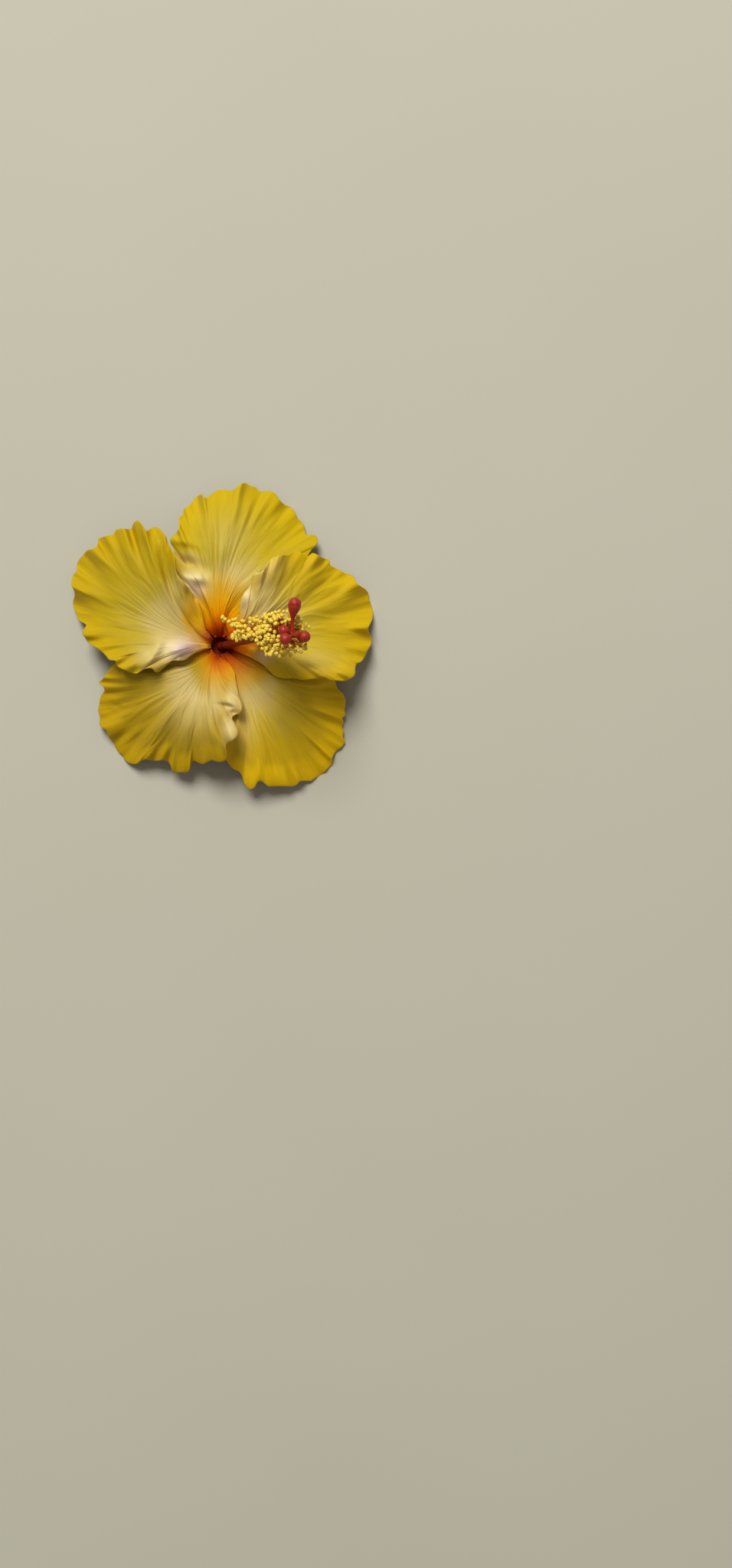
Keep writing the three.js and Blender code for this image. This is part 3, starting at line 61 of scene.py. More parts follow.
# the colour gains in each petal's entry below carry painted light and shade as well as tint: shaded claws and petals
# are lightened, those facing the light darkened
PETALS = {
    "petal_top": {
        "from": 124, "to": 60, "axis": 90, "drop": 2.97, "window": [-0.62, -0.54, 0.36, 0.45],
        "blush": [(-1, 18.1), (-0.6, 19.8), (-0.3, 22.1), (0, 23.2), (0.4, 21.5), (0.7, 19), (1, 16.4)], "crimp": 1.7, "vein": 1.25, "claw_tint_and_painted_light": (1.45, 1.75, 0.2), "heart_tint_and_painted_glow": (1.04, 1.0, 0.32), "tone_and_painted_light": (1.04, 1.06, 0.85),
        "folds": [
            [0.11, -0.14, -0.82, -1.05, 0.03, -0.01, -1.57, -0.4, 0.14, 0.11, 0.02],
            [0.01, 0.04, 0.04, -0.19, -1.01, -2.21, -2.63, 0.11, 0.31, 2.62, 2.69, 2.7, 2.7, 1.11, -0.55, -0.54, -0.54, 0.41, 0.41, 0.14, 0.01, -0.01, 0, 0, 0],
            [0, 0, 0, 0, 0, -0.02, 0.02, 0.13, 0.4, 0.35, -3.04, -1.01, 0.4, 2.21, -0.4, 1.34, 0.38, 0.11, -0.43, 0.51, 2.35, 0.66, 1.28, 2.61, 2.62, 2.02, 2.4, 2.93, 2.43, 0.05, -0.64, -0.64, -0.56, -0.4, 0.4, -0.64, -0.21, -0.02, 0.02, 0.02, 0, 0, 0, 0, 0, 0, 0, 0, 0],
            [0, 0, 0, 0, 0, 0, 0, 0, 0, -0.02, -0.03, 0.03, 0.16, 0.16, -0.94, -1.12, -0.74, -0.37, -0.62, -0.59, -0.16, -0.06, 0.06, 0.5, -0.4, -1.07, 1.12, 1.1, 0.86, 0.53, -0.1, -0.46, -0.46, -0.29, -0.14, 0, -0.16, -0.64, -0.64, -0.62, -0.46, -0.22, 0.14, 0.16, -0.64, -0.26, -0.03, 0.02, 0.02, 0, 0, 0, 0, 0, 0, 0, 0, 0, 0, 0, 0],
            [0, 0, 0, 0, 0, 0, 0, 0, 0, 0, 0, 0, 0, 0, -0.02, 0, 0.11, 0.36, 0.23, -2.29, 0.04, 0.32, -0.25, -1.08, -2.34, 1.01, 0.49, -0.13, -0.16, 0.18, 0.54, 0.04, -1.78, -1.48, 2.14, 0.94, 1.17, 1.26, 1.01, 0.67, 1.35, 1.58, 2.34, 1.82, -0.77, -2.34, -1.98, -1.46, -0.86, 0.65, 0.83, 1.44, 1.51, -0.04, -0.2, 0.72, 0.72, -0.72, -0.72, 0.36, -0.04, 0.34, 0.36, 0.36, -0.72, -0.72, -0.16, 0.02, 0.02, 0.02, 0, 0, 0, 0, 0, 0, 0, 0, 0, 0, 0, 0, 0, 0, 0, 0, 0, 0, 0, 0, 0],
        ],
        "swells": [
            (-13.87, 38.49, 5.50, 1.50, -12, 1.5),
            (-12.17, 29.71, 5.20, 2.30, -14, -2.2),
            (-9.34, 25.47, 4.40, 2.20, -20, 3.2),
            (-7.07, 16.98, 3.50, 1.80, -55, -0.9),
            (-9.06, 24.34, 3.40, 3.40, 0, 1.6),
            (-11.32, 30.28, 4.60, 2.40, -14, -1.7),
            (-14.15, 38.77, 3.60, 1.80, -12, 0.8),
        ],
        "marks": [
            ('pale_and_painted_highlight', -9.06, 23.77, 5.20, 4.20, -20, 0.95),
            ('pale_and_painted_highlight', 3.68, 39.90, 8.00, 8.00, 0, 0.12),
            ('pale_and_painted_highlight', -11.04, 31.41, 4.50, 2.60, -14, 0.45),
            ('pale_and_painted_highlight', 6.51, 26.32, 6.00, 7.00, 90, 0.28),
            ('lilac', -9.06, 20.66, 3.00, 2.00, -40, 0.45),
        ],
        "margin": [
            [-2.26, 3.31, -1], [-4.1, 5.09, -1], [-6.79, 7.64, -1], [-10.47, 11.89, -1], [-13.3, 16.7, -1.3], [-16.41, 21.51, -1.5],
            [-18.11, 26.04, -1.5], [-18.68, 29.71, -1.4], [-17.83, 32.26, -0.9], [-16.7, 34.53, -0.2], [-17.55, 36.51, 0.6], [-18.39, 38.49, 1],
            [-17.83, 40.19, 0.9], [-16.41, 41.32, 0.6], [-15.28, 43.3, 0.3], [-15, 45.28, 0], [-15.28, 46.98, 0], [-13.58, 48.68, 0],
            [-13.3, 50.66, 0], [-11.32, 51.79, 0], [-9.9, 53.77, 0], [-8.21, 55.47, 0], [-6.51, 56.03, 0], [-5.38, 54.62, 0],
            [-3.4, 55.75, 0], [-1.41, 57.17, 0], [0.57, 57.73, 0], [2.83, 57.45, 0], [4.81, 57.45, 0], [6.79, 59.15, 0],
            [9.06, 60.28, 0], [11.32, 59.15, 0], [13.3, 58.58, 0], [14.43, 57.17, 0], [16.41, 57.17, 0], [18.39, 57.17, 0],
            [20.38, 56.32, 0], [22.07, 54.05, 0], [23.77, 52.35, 0], [26.04, 51.22, 0], [27.73, 49.52, 0], [28.87, 46.98, -0.2],
            [30.85, 45, -0.45], [31.41, 43.02, -0.6], [31.98, 41.03, -0.75], [33.68, 41.03, -0.9], [35.38, 40.75, -1.05], [36.22, 39.05, -1.2],
            [35.66, 37.07, -1.35], [33.96, 35.38, -1.5], [32.54, 33.11, -1.7], [29.71, 29.71, -1.7], [25.19, 24.9, -1.7], [19.81, 19.24, -1.5],
            [13.87, 12.73, -1.3], [6.51, 7.07, -1.1], [2.07, 3.45, -1],
        ],
    },
    "petal_left": {
        "from": 132, "to": 196, "axis": 165, "drop": -2.5, "window": [-0.88, -0.74, 0.72, 0.88],
        "blush": [(-1, 18.7), (-0.6, 16.4), (-0.2, 12.5), (0.2, 10.8), (0.6, 8.5), (1, 7.4)], "crimp": 1.15, "vein": 1.25, "claw_tint_and_painted_light": (1.45, 2.20, 0.6), "heart_tint_and_painted_glow": (1.06, 0.98, 1.60), "tone_and_painted_light": (0.96, 0.95, 0.7),
        "folds": [
            [0.04, -0.25, -0.25, 1.22, 0.26, -0.84, -0.4, 0.66, 0.07, -0.12, -0.08],
            [0.14, -0.39, -0.39, 1.61, 0.68, 0.54, 0.82, 2.63, 2.7, 2.28, 0.89, -0.47, 0.53, -0.72, -2.07, -1.19, -2.59, -0.08, 1.34, 1.26, 1.89, 0.18, 1.24, -0.11, -0.23],
            [0.02, 0.19, 0.35, -0.38, -0.4, -0.29, 0.02, 2.05, 1.42, 2.3, 2.77, 2.82, 2.77, 3.04, 2.94, 2.72, 0.37, -1.39, 2.62, 1.66, 1.2, 2.34, 1.7, -1.39, -2.98, -0.13, 2.7, 0.78, -1.6, -2.91, -2.83, -0.48, 0.35, -2.27, 1.57, -0.34, 1.82, -0.16, 0.85, -0.14, 0.05, 1.38, -0.37, 0.38, -0.4, -0.13, 0.21, 0.11, 0],
            [-0.02, 0.02, 0.1, 0.18, -0.16, -0.16, 0.06, -0.16, -0.13, 0.4, -0.14, -0.16, 0.53, 0.77, 0.77, 0.56, -0.72, 1.04, 0.91, 0.9, 0.8, 0.32, 0.34, 0.21, 0.1, 0.06, 0.14, 0.37, 0.27, -0.22, -0.62, -0.8, -1.06, -1.1, -0.82, -0.51, -0.56, -0.66, -0.54, -0.1, 0.54, 1.07, 0.94, 0.61, 0.13, 0.38, 0.26, 0.82, 0.74, 0.35, -0.05, -0.16, 0.08, 0.13, -0.06, -0.14, 0.94, 0.51, 0.1, -0.02, -0.03],
            [0, 0, 0, 0.02, 0.04, 0, -0.32, -0.34, -0.18, 0.05, 0.56, 1.06, 1.57, 1.3, 0.47, 1.17, 1.46, 0.56, 0.27, -0.07, -0.23, -0.13, 0.38, 1.06, 1.46, -1.06, -1.46, 1.8, 1.87, 2.32, 2.16, -0.09, -1.55, 1.73, -1.13, -1.42, 1.24, 2.16, -0.94, -1.73, 0.67, 2.12, 1.73, 0.14, 0.68, -0.36, -2.2, -1.08, -2.23, -0.77, 2.23, 2.02, 0.04, -1.44, -1.48, -1.51, -2.16, -2.2, -0.88, -0.18, 0.4, 1.3, -1.21, -2.25, -0.76, 0.14, -0.34, 0.22, 0.99, 2.16, -0.22, 0.04, -0.34, -0.34, 0.13, -0.07, 0, 0.34, 0.05, -0.32, 0.99, -0.13, -0.32, -0.36, -0.16, 0.14, 0.07, 0.02, 0, 0, 0],
        ],
        "swells": [
            (-13.87, -1.13, 4.40, 2.90, 20, 2.9),
            (-20.38, -2.55, 2.40, 3.60, -20, -1.5),
            (-25.47, -4.81, 5.50, 1.60, 58, 2),
            (-30.28, -7.07, 3.50, 1.30, 50, -0.8),
            (-20.09, 1.41, 6.50, 4.20, 5, 2.1),
            (-25.75, -1.41, 2.20, 2.60, 0, -0.9),
        ],
        "marks": [
            ('pale_and_painted_highlight', -17.26, -1.13, 9.00, 4.80, 18, 0.85),
            ('pale_and_painted_highlight', -16.70, 20.66, 3.50, 8.00, -30, 0.25),
            ('lilac', -13.30, -1.13, 4.20, 3.00, 20, 0.85),
            ('pale_and_painted_highlight', -25.47, -4.24, 4.00, 5.00, 70, 0.45),
        ],
        "margin": [
            [-2.69, 2.97, 1.3], [-4.67, 5.38, 1.3], [-5.66, 5.94, 1.3], [-6.23, 10.47, 1.4], [-7.07, 14.43, 1.6], [-8.77, 17.55, 2],
            [-10.75, 20.09, 2.4], [-12.73, 22.64, 3], [-14.72, 24.9, 3.4], [-16.13, 27.17, 3.6], [-16.7, 29.15, 3.6], [-16.41, 31.13, 3.4],
            [-16.7, 33.11, 2.8], [-17.55, 35.09, 2], [-18.68, 37.07, 1.2], [-19.53, 39.05, 0.6], [-20.09, 40.75, 0.2], [-21.22, 41.88, 0],
            [-22.36, 43.3, 0], [-24.05, 43.86, 0], [-25.75, 43.3, 0], [-27.17, 42.45, 0], [-28.3, 44.15, 0], [-29.43, 45.56, 0],
            [-30.56, 46.41, 0], [-31.98, 45.28, 0], [-32.83, 43.3, 0], [-35.09, 43.3, 0], [-37.07, 43.3, 0], [-38.49, 42.73, 0],
            [-39.62, 41.03, 0], [-41.6, 40.75, 0], [-43.58, 40.19, 0], [-45, 39.34, 0], [-45.28, 37.36, 0], [-46.69, 35.94, 0],
            [-48.96, 35.38, 0], [-50.09, 34.24, 0], [-51.22, 32.83, 0], [-52.35, 31.41, 0], [-52.92, 29.71, 0], [-52.92, 27.73, 0],
            [-54.05, 26.32, 0], [-54.9, 24.34, 0], [-54.9, 22.36, 0], [-54.05, 20.38, 0], [-53.77, 18.39, 0], [-54.34, 16.41, 0],
            [-54.05, 14.15, 0], [-53.2, 12.17, 0], [-52.64, 10.19, 0], [-51.22, 8.77, 0], [-49.52, 7.64, 0], [-50.09, 6.23, 0],
            [-50.94, 4.81, 0], [-50.09, 3.11, 0], [-48.39, 0.85, 0.3], [-46.41, -0.28, 0.6], [-44.43, -1.7, 1], [-42.45, -3.4, 1.5],
            [-40.75, -5.38, 2], [-38.77, -5.66, 2.4], [-38.2, -7.36, 2.6], [-36.51, -8.49, 2.8], [-34.53, -9.34, 3], [-32.54, -10.19, 3.2],
            [-30.85, -10.47, 2.9], [-29.15, -9.34, 2.8], [-27.17, -8.49, 2.7], [-25.19, -8.49, 2.6], [-23.77, -9.9, 2.5], [-22.36, -9.62, 2.4],
            [-21.22, -7.64, 2.3], [-19.53, -6.51, 2.2], [-17.55, -5.66, 2.2], [-15.28, -5.66, 2.1], [-13.02, -5.38, 1.9], [-11.04, -3.96, 1.7],
            [-9.34, -2.83, 1.6], [-7.07, -1.98, 1.4], [-6.51, -1.56, 1.4], [-3.85, -1.1, 1.4],
        ],
    },
    "petal_right": {
        "from": 52, "to": -12, "axis": 18, "drop": 0.78, "window": [-0.86, -0.7, 0.7, 0.86],
        "blush": [(-1, 14.1), (-0.6, 14.7), (0, 17), (0.5, 17.5), (0.8, 15.3), (1, 13.6)], "crimp": 1.15, "vein": 1.1, "claw_tint_and_painted_light": (1.45, 1.15, 0.5), "heart_tint_and_painted_glow": (1.0, 1.0, 1.0), "tone_and_painted_light": (1.11, 1.08, 0.75),
        "folds": [
            [-0.04, 0.17, 0.56, -0.17, 0.3, -0.27, -0.26, 0.56, 0.92, -0.25, -0.01],
            [0.07, 0.01, -0.31, -0.39, 0.11, 1.92, 1.5, -0.28, 0.15, 1.09, -1.15, -1.49, -1.32, -1.73, -1.63, 0.42, 2.25, 2.7, 2.55, 1.53, 0.88, -0.34, -0.32, 1.44, 0.61],
            [-0.02, -0.1, -0.13, 0.4, 2.72, -0.37, -0.37, -0.37, -0.29, 2.62, 2.38, 2.11, 1.73, 0.56, 1.28, -0.11, 0.24, 0.19, -2.08, -2.13, 0.56, 0.62, 1.87, -0.16, -1.6, -1.1, 2.59, 2.3, 2.32, 0.91, 2.85, 1.2, 2.83, 2.93, 1.94, 1.15, 0.85, 0.66, -0.35, -0.4, -0.29, -0.37, -0.05, -0.29, -0.35, 2, 0.83, 0.13, -0.11],
            [0, -0.02, -0.03, -0.02, 0.19, 0.86, 0.59, -0.16, 0.51, 0.13, 0.26, 0.4, 0.45, 0.62, 0.62, 0.32, 0.42, 0.14, -0.14, 0.22, 0.74, 0.93, 0.74, -0.26, -0.5, -0.51, -0.43, -0.45, 0.4, 0.43, 0.02, -0.4, -0.59, -0.46, 0.03, 0, -0.37, -0.8, -0.7, -0.02, -0.34, -0.1, -0.11, 0.75, 0.8, 0.35, 0.02, 0.02, 0.85, 0.83, 0.37, 0.02, -0.13, -0.16, -0.13, 0.72, 0.02, -0.06, -0.03, 0, 0],
            [0, 0, 0, 0, -0.02, -0.07, -0.02, 0.49, 1.94, 0.34, -0.34, -0.31, -0.14, 0.11, -0.09, 2.12, 2.27, 1.24, 0.74, 0.56, 0.67, 1.49, 1.48, -0.36, -0.36, -0.29, 0.29, 0.32, -0.2, 1.26, 2.07, 0.92, -1.8, -1.66, -1.08, -0.58, 0.77, 0.18, -0.4, 0.88, 2.18, 1.73, 0.65, 0.4, -0.29, 0.23, -0.05, -0.52, 0.25, -0.43, 1.58, 2.12, 0.83, -0.67, -0.94, 2.05, 0.11, -1.8, -0.65, 2.18, 1.08, 2.11, 2.21, 2.34, 2.07, 1.87, 1.67, 1.33, 1.06, 0.85, -0.14, -0.34, -0.34, -0.34, -0.32, -0.32, -0.31, -0.29, -0.23, -0.32, -0.29, -0.32, 0, 1.31, 0.81, 0.18, -0.02, -0.04, -0.02, 0, 0],
        ],
        "swells": [
            (9.34, 16.98, 1.80, 3.40, 0, 1.9),
            (12.45, 23.49, 2.50, 5.00, -25, 1.5),
            (14.43, 15.00, 3.00, 7.00, -10, -0.9),
            (44.43, -9.90, 5.00, 1.80, -8, 1.4),
            (33.39, -8.77, 6.00, 2.40, 0, -1.4),
            (9.34, 18.39, 1.90, 2.80, 0, 1),
        ],
        "marks": [
            ('pale_and_painted_highlight', 9.90, 16.98, 3.60, 6.00, 0, 0.8),
            # thin whitish line along the rim of the right petal's flap: painted highlight where the rim faces the key
            # light
            ('pale_and_painted_highlight', 14.15, 27.45, 3.50, 1.20, 20, 0.8),
            ('pale_and_painted_highlight', 16.41, 12.17, 8.00, 8.00, 0, 0.2),
            ('lilac', 16.41, -3.96, 3.00, 2.00, 0, 0.5),
            ('pale_and_painted_highlight', 34.81, -5.38, 9.00, 4.00, 0, 0.15),
            ('pale_and_painted_highlight', 17.83, 29.71, 5.00, 6.00, 0, 0.3),
            ('pale_and_painted_highlight', 15.85, 20.09, 5.00, 8.00, 0, 0.42),
        ],
        "margin": [
            [2.46, 3.14, 1.3], [4.53, 6.51, 1.4], [7.07, 10.75, 1.4], [7.36, 13.87, 1.7], [7.92, 16.98, 2.2], [8.77, 19.24, 2.6],
            [10.47, 21.22, 2.8], [11.6, 23.21, 3], [11.89, 25.75, 3.1], [13.02, 26.88, 3.1], [15, 27.17, 3], [16.7, 28.87, 2.9],
            [17.83, 30.56, 2.9], [19.24, 32.26, 2.9], [21.22, 33.11, 2.9], [23.49, 33.68, 3], [25.47, 33.68, 3.1], [26.88, 34.81, 3.2],
            [29.15, 34.81, 3.2], [30.85, 33.96, 3], [32.54, 33.11, 3.2], [34.24, 34.24, 2.4], [35.94, 33.68, 1.5], [37.92, 32.54, 0.7],
            [40.47, 31.7, 0], [40.75, 30, 0], [42.45, 28.87, 0], [44.43, 28.02, 0], [46.13, 26.88, 0], [48.11, 26.32, 0],
            [49.81, 25.19, 0], [50.37, 23.49, 0], [52.07, 22.07, 0], [53.77, 20.94, 0], [54.9, 19.53, 0], [55.18, 17.26, 0],
            [56.03, 15, 0], [56.6, 12.73, 0], [56.6, 10.19, 0], [55.75, 8.21, 0], [54.9, 6.23, 0], [55.47, 4.24, 0],
            [56.32, 2.26, 0], [55.75, 0, 0], [54.62, -1.98, 0], [53.77, -3.96, 0], [52.35, -5.94, 0], [50.66, -6.79, 0],
            [50.09, -8.49, 0.5], [50.09, -10.47, 1], [48.96, -11.89, 1.5], [46.69, -13.02, 2], [43.86, -13.02, 2.4], [41.32, -13.02, 2.8],
            [38.77, -11.89, 3], [36.51, -12.17, 3.2], [33.68, -12.45, 3.4], [30.85, -12.73, 3.5], [27.45, -12.17, 3.6], [24.05, -12.17, 3.6],
            [20.94, -11.6, 3], [18.11, -9.34, 2.5], [15.85, -7.07, 2], [12.73, -5.09, 1.6], [8.49, -3.11, 1.3], [3.91, -0.82, 1.3],
        ],
    },
    "petal_lower_left": {
        "from": 204, "to": 268, "axis": 236, "drop": 7.4, "window": [-0.58, -0.5, 0.72, 0.86],
        "blush": [(-1, 10.2), (-0.6, 11.9), (-0.2, 13), (0.2, 15.3), (0.5, 18.1), (0.8, 18.7), (1, 17)], "crimp": 1.5, "vein": 1.45, "claw_tint_and_painted_light": (0.94, 1.16, 0.5), "heart_tint_and_painted_glow": (0.74, 0.78, 0.90), "tone_and_painted_light": (0.93, 0.86, 0.66),
        "folds": [
            [-0.01, 0.08, 0.2, -0.06, -0.72, -0.2, 0.7, 1.6, -0.25, -0.25, -0.05],
            [0, 0, -0.03, -0.07, -0.04, 0.41, -0.99, -1.82, -2.7, -2.12, -2.69, -1.76, -0.53, -2.69, -2.7, -2.67, -2.23, 2.7, 0.35, -0.41, 0.51, -0.41, 0.41, 0.26, 0.01],
            [0, 0, 0, 0, 0, 0, 0.03, 0.06, -0.02, -0.62, -2.14, -0.85, 0.21, -0.18, -0.37, -0.1, 0.88, -0.13, 3.04, 2.96, 2.98, 2.16, -0.35, 1.04, 0.82, 1.63, 2.05, 0.91, -0.4, 0.48, -0.21, -0.26, 0.27, -0.1, -1.54, -0.4, 1.33, 2.29, 0.58, -0.26, -0.29, 1.66, -0.4, 0.26, -0.4, -0.19, -0.02, 0.02, 0.02],
            [0, 0, 0, 0, 0, 0, 0, 0, 0, 0, -0.02, -0.06, -0.11, 0.14, 0.16, 0.03, -0.37, -0.38, -0.69, -0.91, -1.06, -1.07, -1.12, -0.94, -0.7, -0.77, -1.12, -0.74, 1.1, 0.93, 0.45, 0.5, 0.67, 0.53, 0.32, 0.45, 0.93, 0.66, 0.38, 0.3, 0.26, -0.38, -0.29, 1.12, 1.12, 0.13, -0.16, 0.9, 1.12, 0.58, 0.29, -0.16, 0.42, 1.07, -0.16, 0.7, 0.46, 0.1, -0.02, -0.02, 0],
            [0, 0, 0, 0, 0, 0, 0, 0, 0, 0, 0, 0, 0, 0, 0, 0.02, 0.04, 0.02, -0.27, -1.13, -1.49, 0.34, -2.34, -0.68, 0.23, 0.36, -0.02, -0.41, -0.76, -0.27, 1.78, 2.21, 2.3, 2.14, 2.34, 2.23, 1.66, 1.35, 1.01, 1.21, 1.73, 2.34, 2.34, 2.34, 2.34, 1.89, 1.49, 1.37, 0.5, 0.25, 1.06, 0.79, 1.53, 2.34, 2.34, 2.34, 2.34, 1.62, 0.83, 0.02, 0.49, 1.49, 0.68, 1.37, 1.91, 2.34, -0.36, -0.05, -0.36, 0.79, 2.34, 2.34, 2.34, 0.88, 0.25, -0.04, -0.36, 0.13, 2.34, 2.34, 0.67, -0.05, -0.36, -0.36, -0.04, 0.04, 0.02, 0, 0, 0, 0],
        ],
        "swells": [
            (4.81, -19.53, 3.00, 2.60, 0, 1.5),
            (2.55, -22.36, 2.80, 0.80, -10, -1.8),
            (5.09, -24.90, 1.90, 1.60, 0, -1.9),
            (2.83, -28.58, 4.60, 1.50, -62, 1.7),
            (-1.13, -30.85, 5.00, 1.20, -70, -1),
        ],
        "marks": [
            ('pale_and_painted_highlight', 4.53, -21.22, 3.50, 6.00, 0, 0.6),
            ('pale_and_painted_highlight', 3.96, -30.28, 3.50, 5.50, 0, 0.6),
            ('pale_and_painted_highlight', -9.06, -23.21, 9.00, 9.00, 45, 0.3),
            ('pale_and_painted_highlight', -2.26, -21.22, 5.00, 8.00, 0, 0.35),
        ],
        "margin": [
            [-3.65, -1.64, -1.2], [-7.07, -0.99, -1.1], [-11.6, -1.13, -1.1], [-16.7, -2.26, -1.2], [-22.36, -3.96, -1.4], [-28.02, -5.09, -1.5],
            [-33.11, -5.09, -1.5], [-36.79, -5.38, -1.3], [-39.05, -6.79, -0.6], [-41.03, -9.06, 0], [-42.17, -10.75, 0], [-43.3, -12.17, 0],
            [-44.71, -13.87, 0], [-43.3, -15, 0], [-42.73, -16.7, 0], [-43.86, -18.39, 0], [-44.43, -20.38, 0], [-44.71, -22.36, 0],
            [-45, -24.05, 0], [-44.43, -26.04, 0], [-44.43, -28.02, 0], [-44.43, -29.43, 0], [-43.3, -30.56, 0], [-41.88, -31.7, 0],
            [-41.32, -33.39, 0], [-40.47, -34.81, 0], [-39.34, -35.94, 0], [-38.49, -37.92, 0], [-37.36, -39.62, 0], [-35.94, -40.75, 0],
            [-35.38, -42.17, 0], [-33.96, -43.3, 0], [-32.26, -43.86, 0], [-30.28, -43.58, 0], [-29.15, -42.73, 0], [-27.45, -42.17, 0],
            [-25.47, -42.45, 0], [-23.21, -42.73, 0], [-21.22, -42.45, 0], [-19.24, -43.02, 0], [-18.11, -44.71, 0], [-17.55, -46.69, 0],
            [-14.43, -46.98, 0], [-11.6, -46.69, 0], [-10.75, -44.71, 0], [-9.9, -42.73, 0], [-8.21, -43.3, 0], [-6.51, -43.86, 0],
            [-4.81, -43.3, 0], [-3.11, -42.45, 0], [-1.13, -43.02, 0], [0.85, -43.02, 0], [2.55, -41.88, 1.2], [2.83, -39.9, 2.2],
            [2.26, -37.92, 3], [2.83, -36.22, 3.2], [4.81, -35.09, 3.2], [6.51, -33.39, 3], [6.79, -31.13, 3.2], [5.66, -28.87, 3.2],
            [4.53, -26.88, 3.2], [5.38, -25.75, 3.3], [7.36, -25.19, 3.4], [8.21, -23.21, 3.4], [7.92, -20.66, 3.3], [7.07, -18.39, 3.1],
            [6.51, -15.85, 2.2], [5.94, -12.73, 1.6], [5.38, -9.62, 1.4], [3.25, -6.51, 1.3], [-0.14, -3.99, 1.3],
        ],
    },
    "petal_lower_right": {
        "from": 276, "to": 340, "axis": 312, "drop": 5.55, "window": [-0.56, -0.46, 0.42, 0.52],
        "blush": [(-1, 14.1), (-0.6, 15.8), (0, 17.5), (0.4, 18.7), (0.7, 17.5), (1, 15.6)], "crimp": 1.5, "vein": 1.45, "claw_tint_and_painted_light": (0.70, 0.58, 0.2), "heart_tint_and_painted_glow": (0.84, 0.74, 0.36), "tone_and_painted_light": (1.33, 1.24, 0.85),
        "folds": [
            [0.08, 0.02, -0.39, -1.6, -1.6, -1.6, -1.6, -0.4, 0.25, 0.14, 0],
            [0, 0.03, 0.07, 0.05, -0.38, -1.81, -1.61, -0.9, 2.03, 2.35, 2.7, 2.13, 0.59, 1.17, -0.78, -0.28, -0.54, -0.54, -0.54, 0.41, 0.23, 0.05, 0, -0.01, 0],
            [0, 0, 0, 0, 0, 0, 0.03, 0.06, 0.02, -0.45, -1.76, -2.4, -3.04, 0.29, 3.04, 3.04, 3.04, 3.04, 3.04, 3.04, 3.04, 3.04, 3.04, 3.04, 3.04, 2.74, 3.04, 3.04, 3.04, 1.73, -0.83, 0.64, 0.26, -0.46, -0.26, -0.64, -0.38, 0.4, 0.16, 0.02, -0.02, 0, 0, 0, 0, 0, 0, 0, 0],
            [0, 0, 0, 0, 0, 0, 0, 0, 0, 0.02, 0.03, 0.02, -0.18, -0.75, -1.12, 0.16, -0.29, -1.12, -1.12, -1.1, -0.85, -1.12, -0.51, -0.18, -1.12, -0.58, 0.03, -1.12, -1.02, -1.12, -1.12, -0.99, -1.04, -1.12, -1.12, -0.88, -0.83, -0.78, -0.62, -0.64, -0.64, -0.64, -0.54, -0.35, 0.08, 0.16, -0.18, -0.11, -0.03, 0, 0, 0, 0, 0, 0, 0, 0, 0, 0, 0, 0],
            [0, 0, 0, 0, 0, 0, 0, 0, 0, 0, 0, 0, 0, 0, 0, 0, 0.04, 0.07, 0.02, -0.58, -2.29, -2.34, -0.14, -0.02, -0.81, -1.13, 0.36, 1.39, 2.34, 2.34, 2.34, 2.34, 2.34, 2.34, 2.34, 1.64, 2.18, 2.34, 2.34, 1.04, 2.34, 2.34, 2.34, 2.34, 2.34, 2.03, 2.34, 2.34, 2.23, 2.34, 2.34, 2.34, 2.34, 1.89, 2.34, 2.34, 2.34, 1.01, 0.25, 0.45, 0.72, -0.72, 0.36, 0.36, 0.16, -0.72, -0.72, -0.72, 0.36, 0.2, 0.04, 0, 0, 0, 0, 0, 0, 0, 0, 0, 0, 0, 0, 0, 0, 0, 0, 0, 0, 0, 0],
        ],
        "swells": [

        ],
        "marks": [
            ('pale_and_painted_highlight', 9.90, -17.55, 5.00, 7.00, 0, 0.15),
            ('pale_and_painted_highlight', 9.34, -28.87, 4.00, 9.00, 0, 0.25),
        ],
        "margin": [
            [0.42, -3.99, -1.1], [1.27, -7.64, -1], [1.41, -13.3, -1.1], [0.85, -18.96, -1.3], [0.57, -24.62, -1.5], [0.28, -30.28, -1.7],
            [0.28, -35.94, -1.7], [0.85, -39.9, -1.5], [2.55, -42.59, -0.8], [3.96, -44.71, 0], [5.38, -45.85, 0], [7.07, -46.69, 0],
            [8.21, -48.39, 0], [8.77, -50.37, 0], [9.62, -52.07, 0], [11.32, -53.2, 0], [13.02, -52.35, 0], [13.87, -50.66, 0],
            [15, -50.09, 0], [16.41, -50.94, 0], [17.83, -52.07, 0], [20.09, -52.07, 0], [22.36, -52.07, 0], [24.62, -52.07, 0],
            [26.88, -52.07, 0], [28.58, -51.51, 0], [29.43, -50.37, 0], [31.41, -50.09, 0], [33.68, -50.09, 0], [35.38, -48.96, 0],
            [37.07, -48.11, 0], [38.77, -46.69, 0], [40.47, -45, 0], [41.6, -43.86, 0], [41.6, -41.88, 0], [42.45, -39.9, 0],
            [43.86, -38.49, 0], [45.28, -37.36, 0], [46.41, -35.66, 0], [45.56, -33.68, 0], [45.85, -31.7, 0], [45.28, -30, 0],
            [45.85, -28.3, 0], [45.28, -26.88, 0], [46.41, -25.75, 0], [46.13, -23.77, 0], [46.41, -21.79, 0], [46.41, -19.81, 0],
            [45.28, -17.55, 0], [43.58, -15.85, -0.2], [42.73, -13.58, -0.6], [40.75, -10.19, -1.4], [37.07, -7.92, -1.5], [32.54, -6.23, -1.5],
            [26.88, -4.81, -1.3], [21.22, -3.68, -1.1], [15.56, -2.55, -1.1], [9.34, -1.84, -1], [3.76, -1.36, -1],
        ],
    },
}

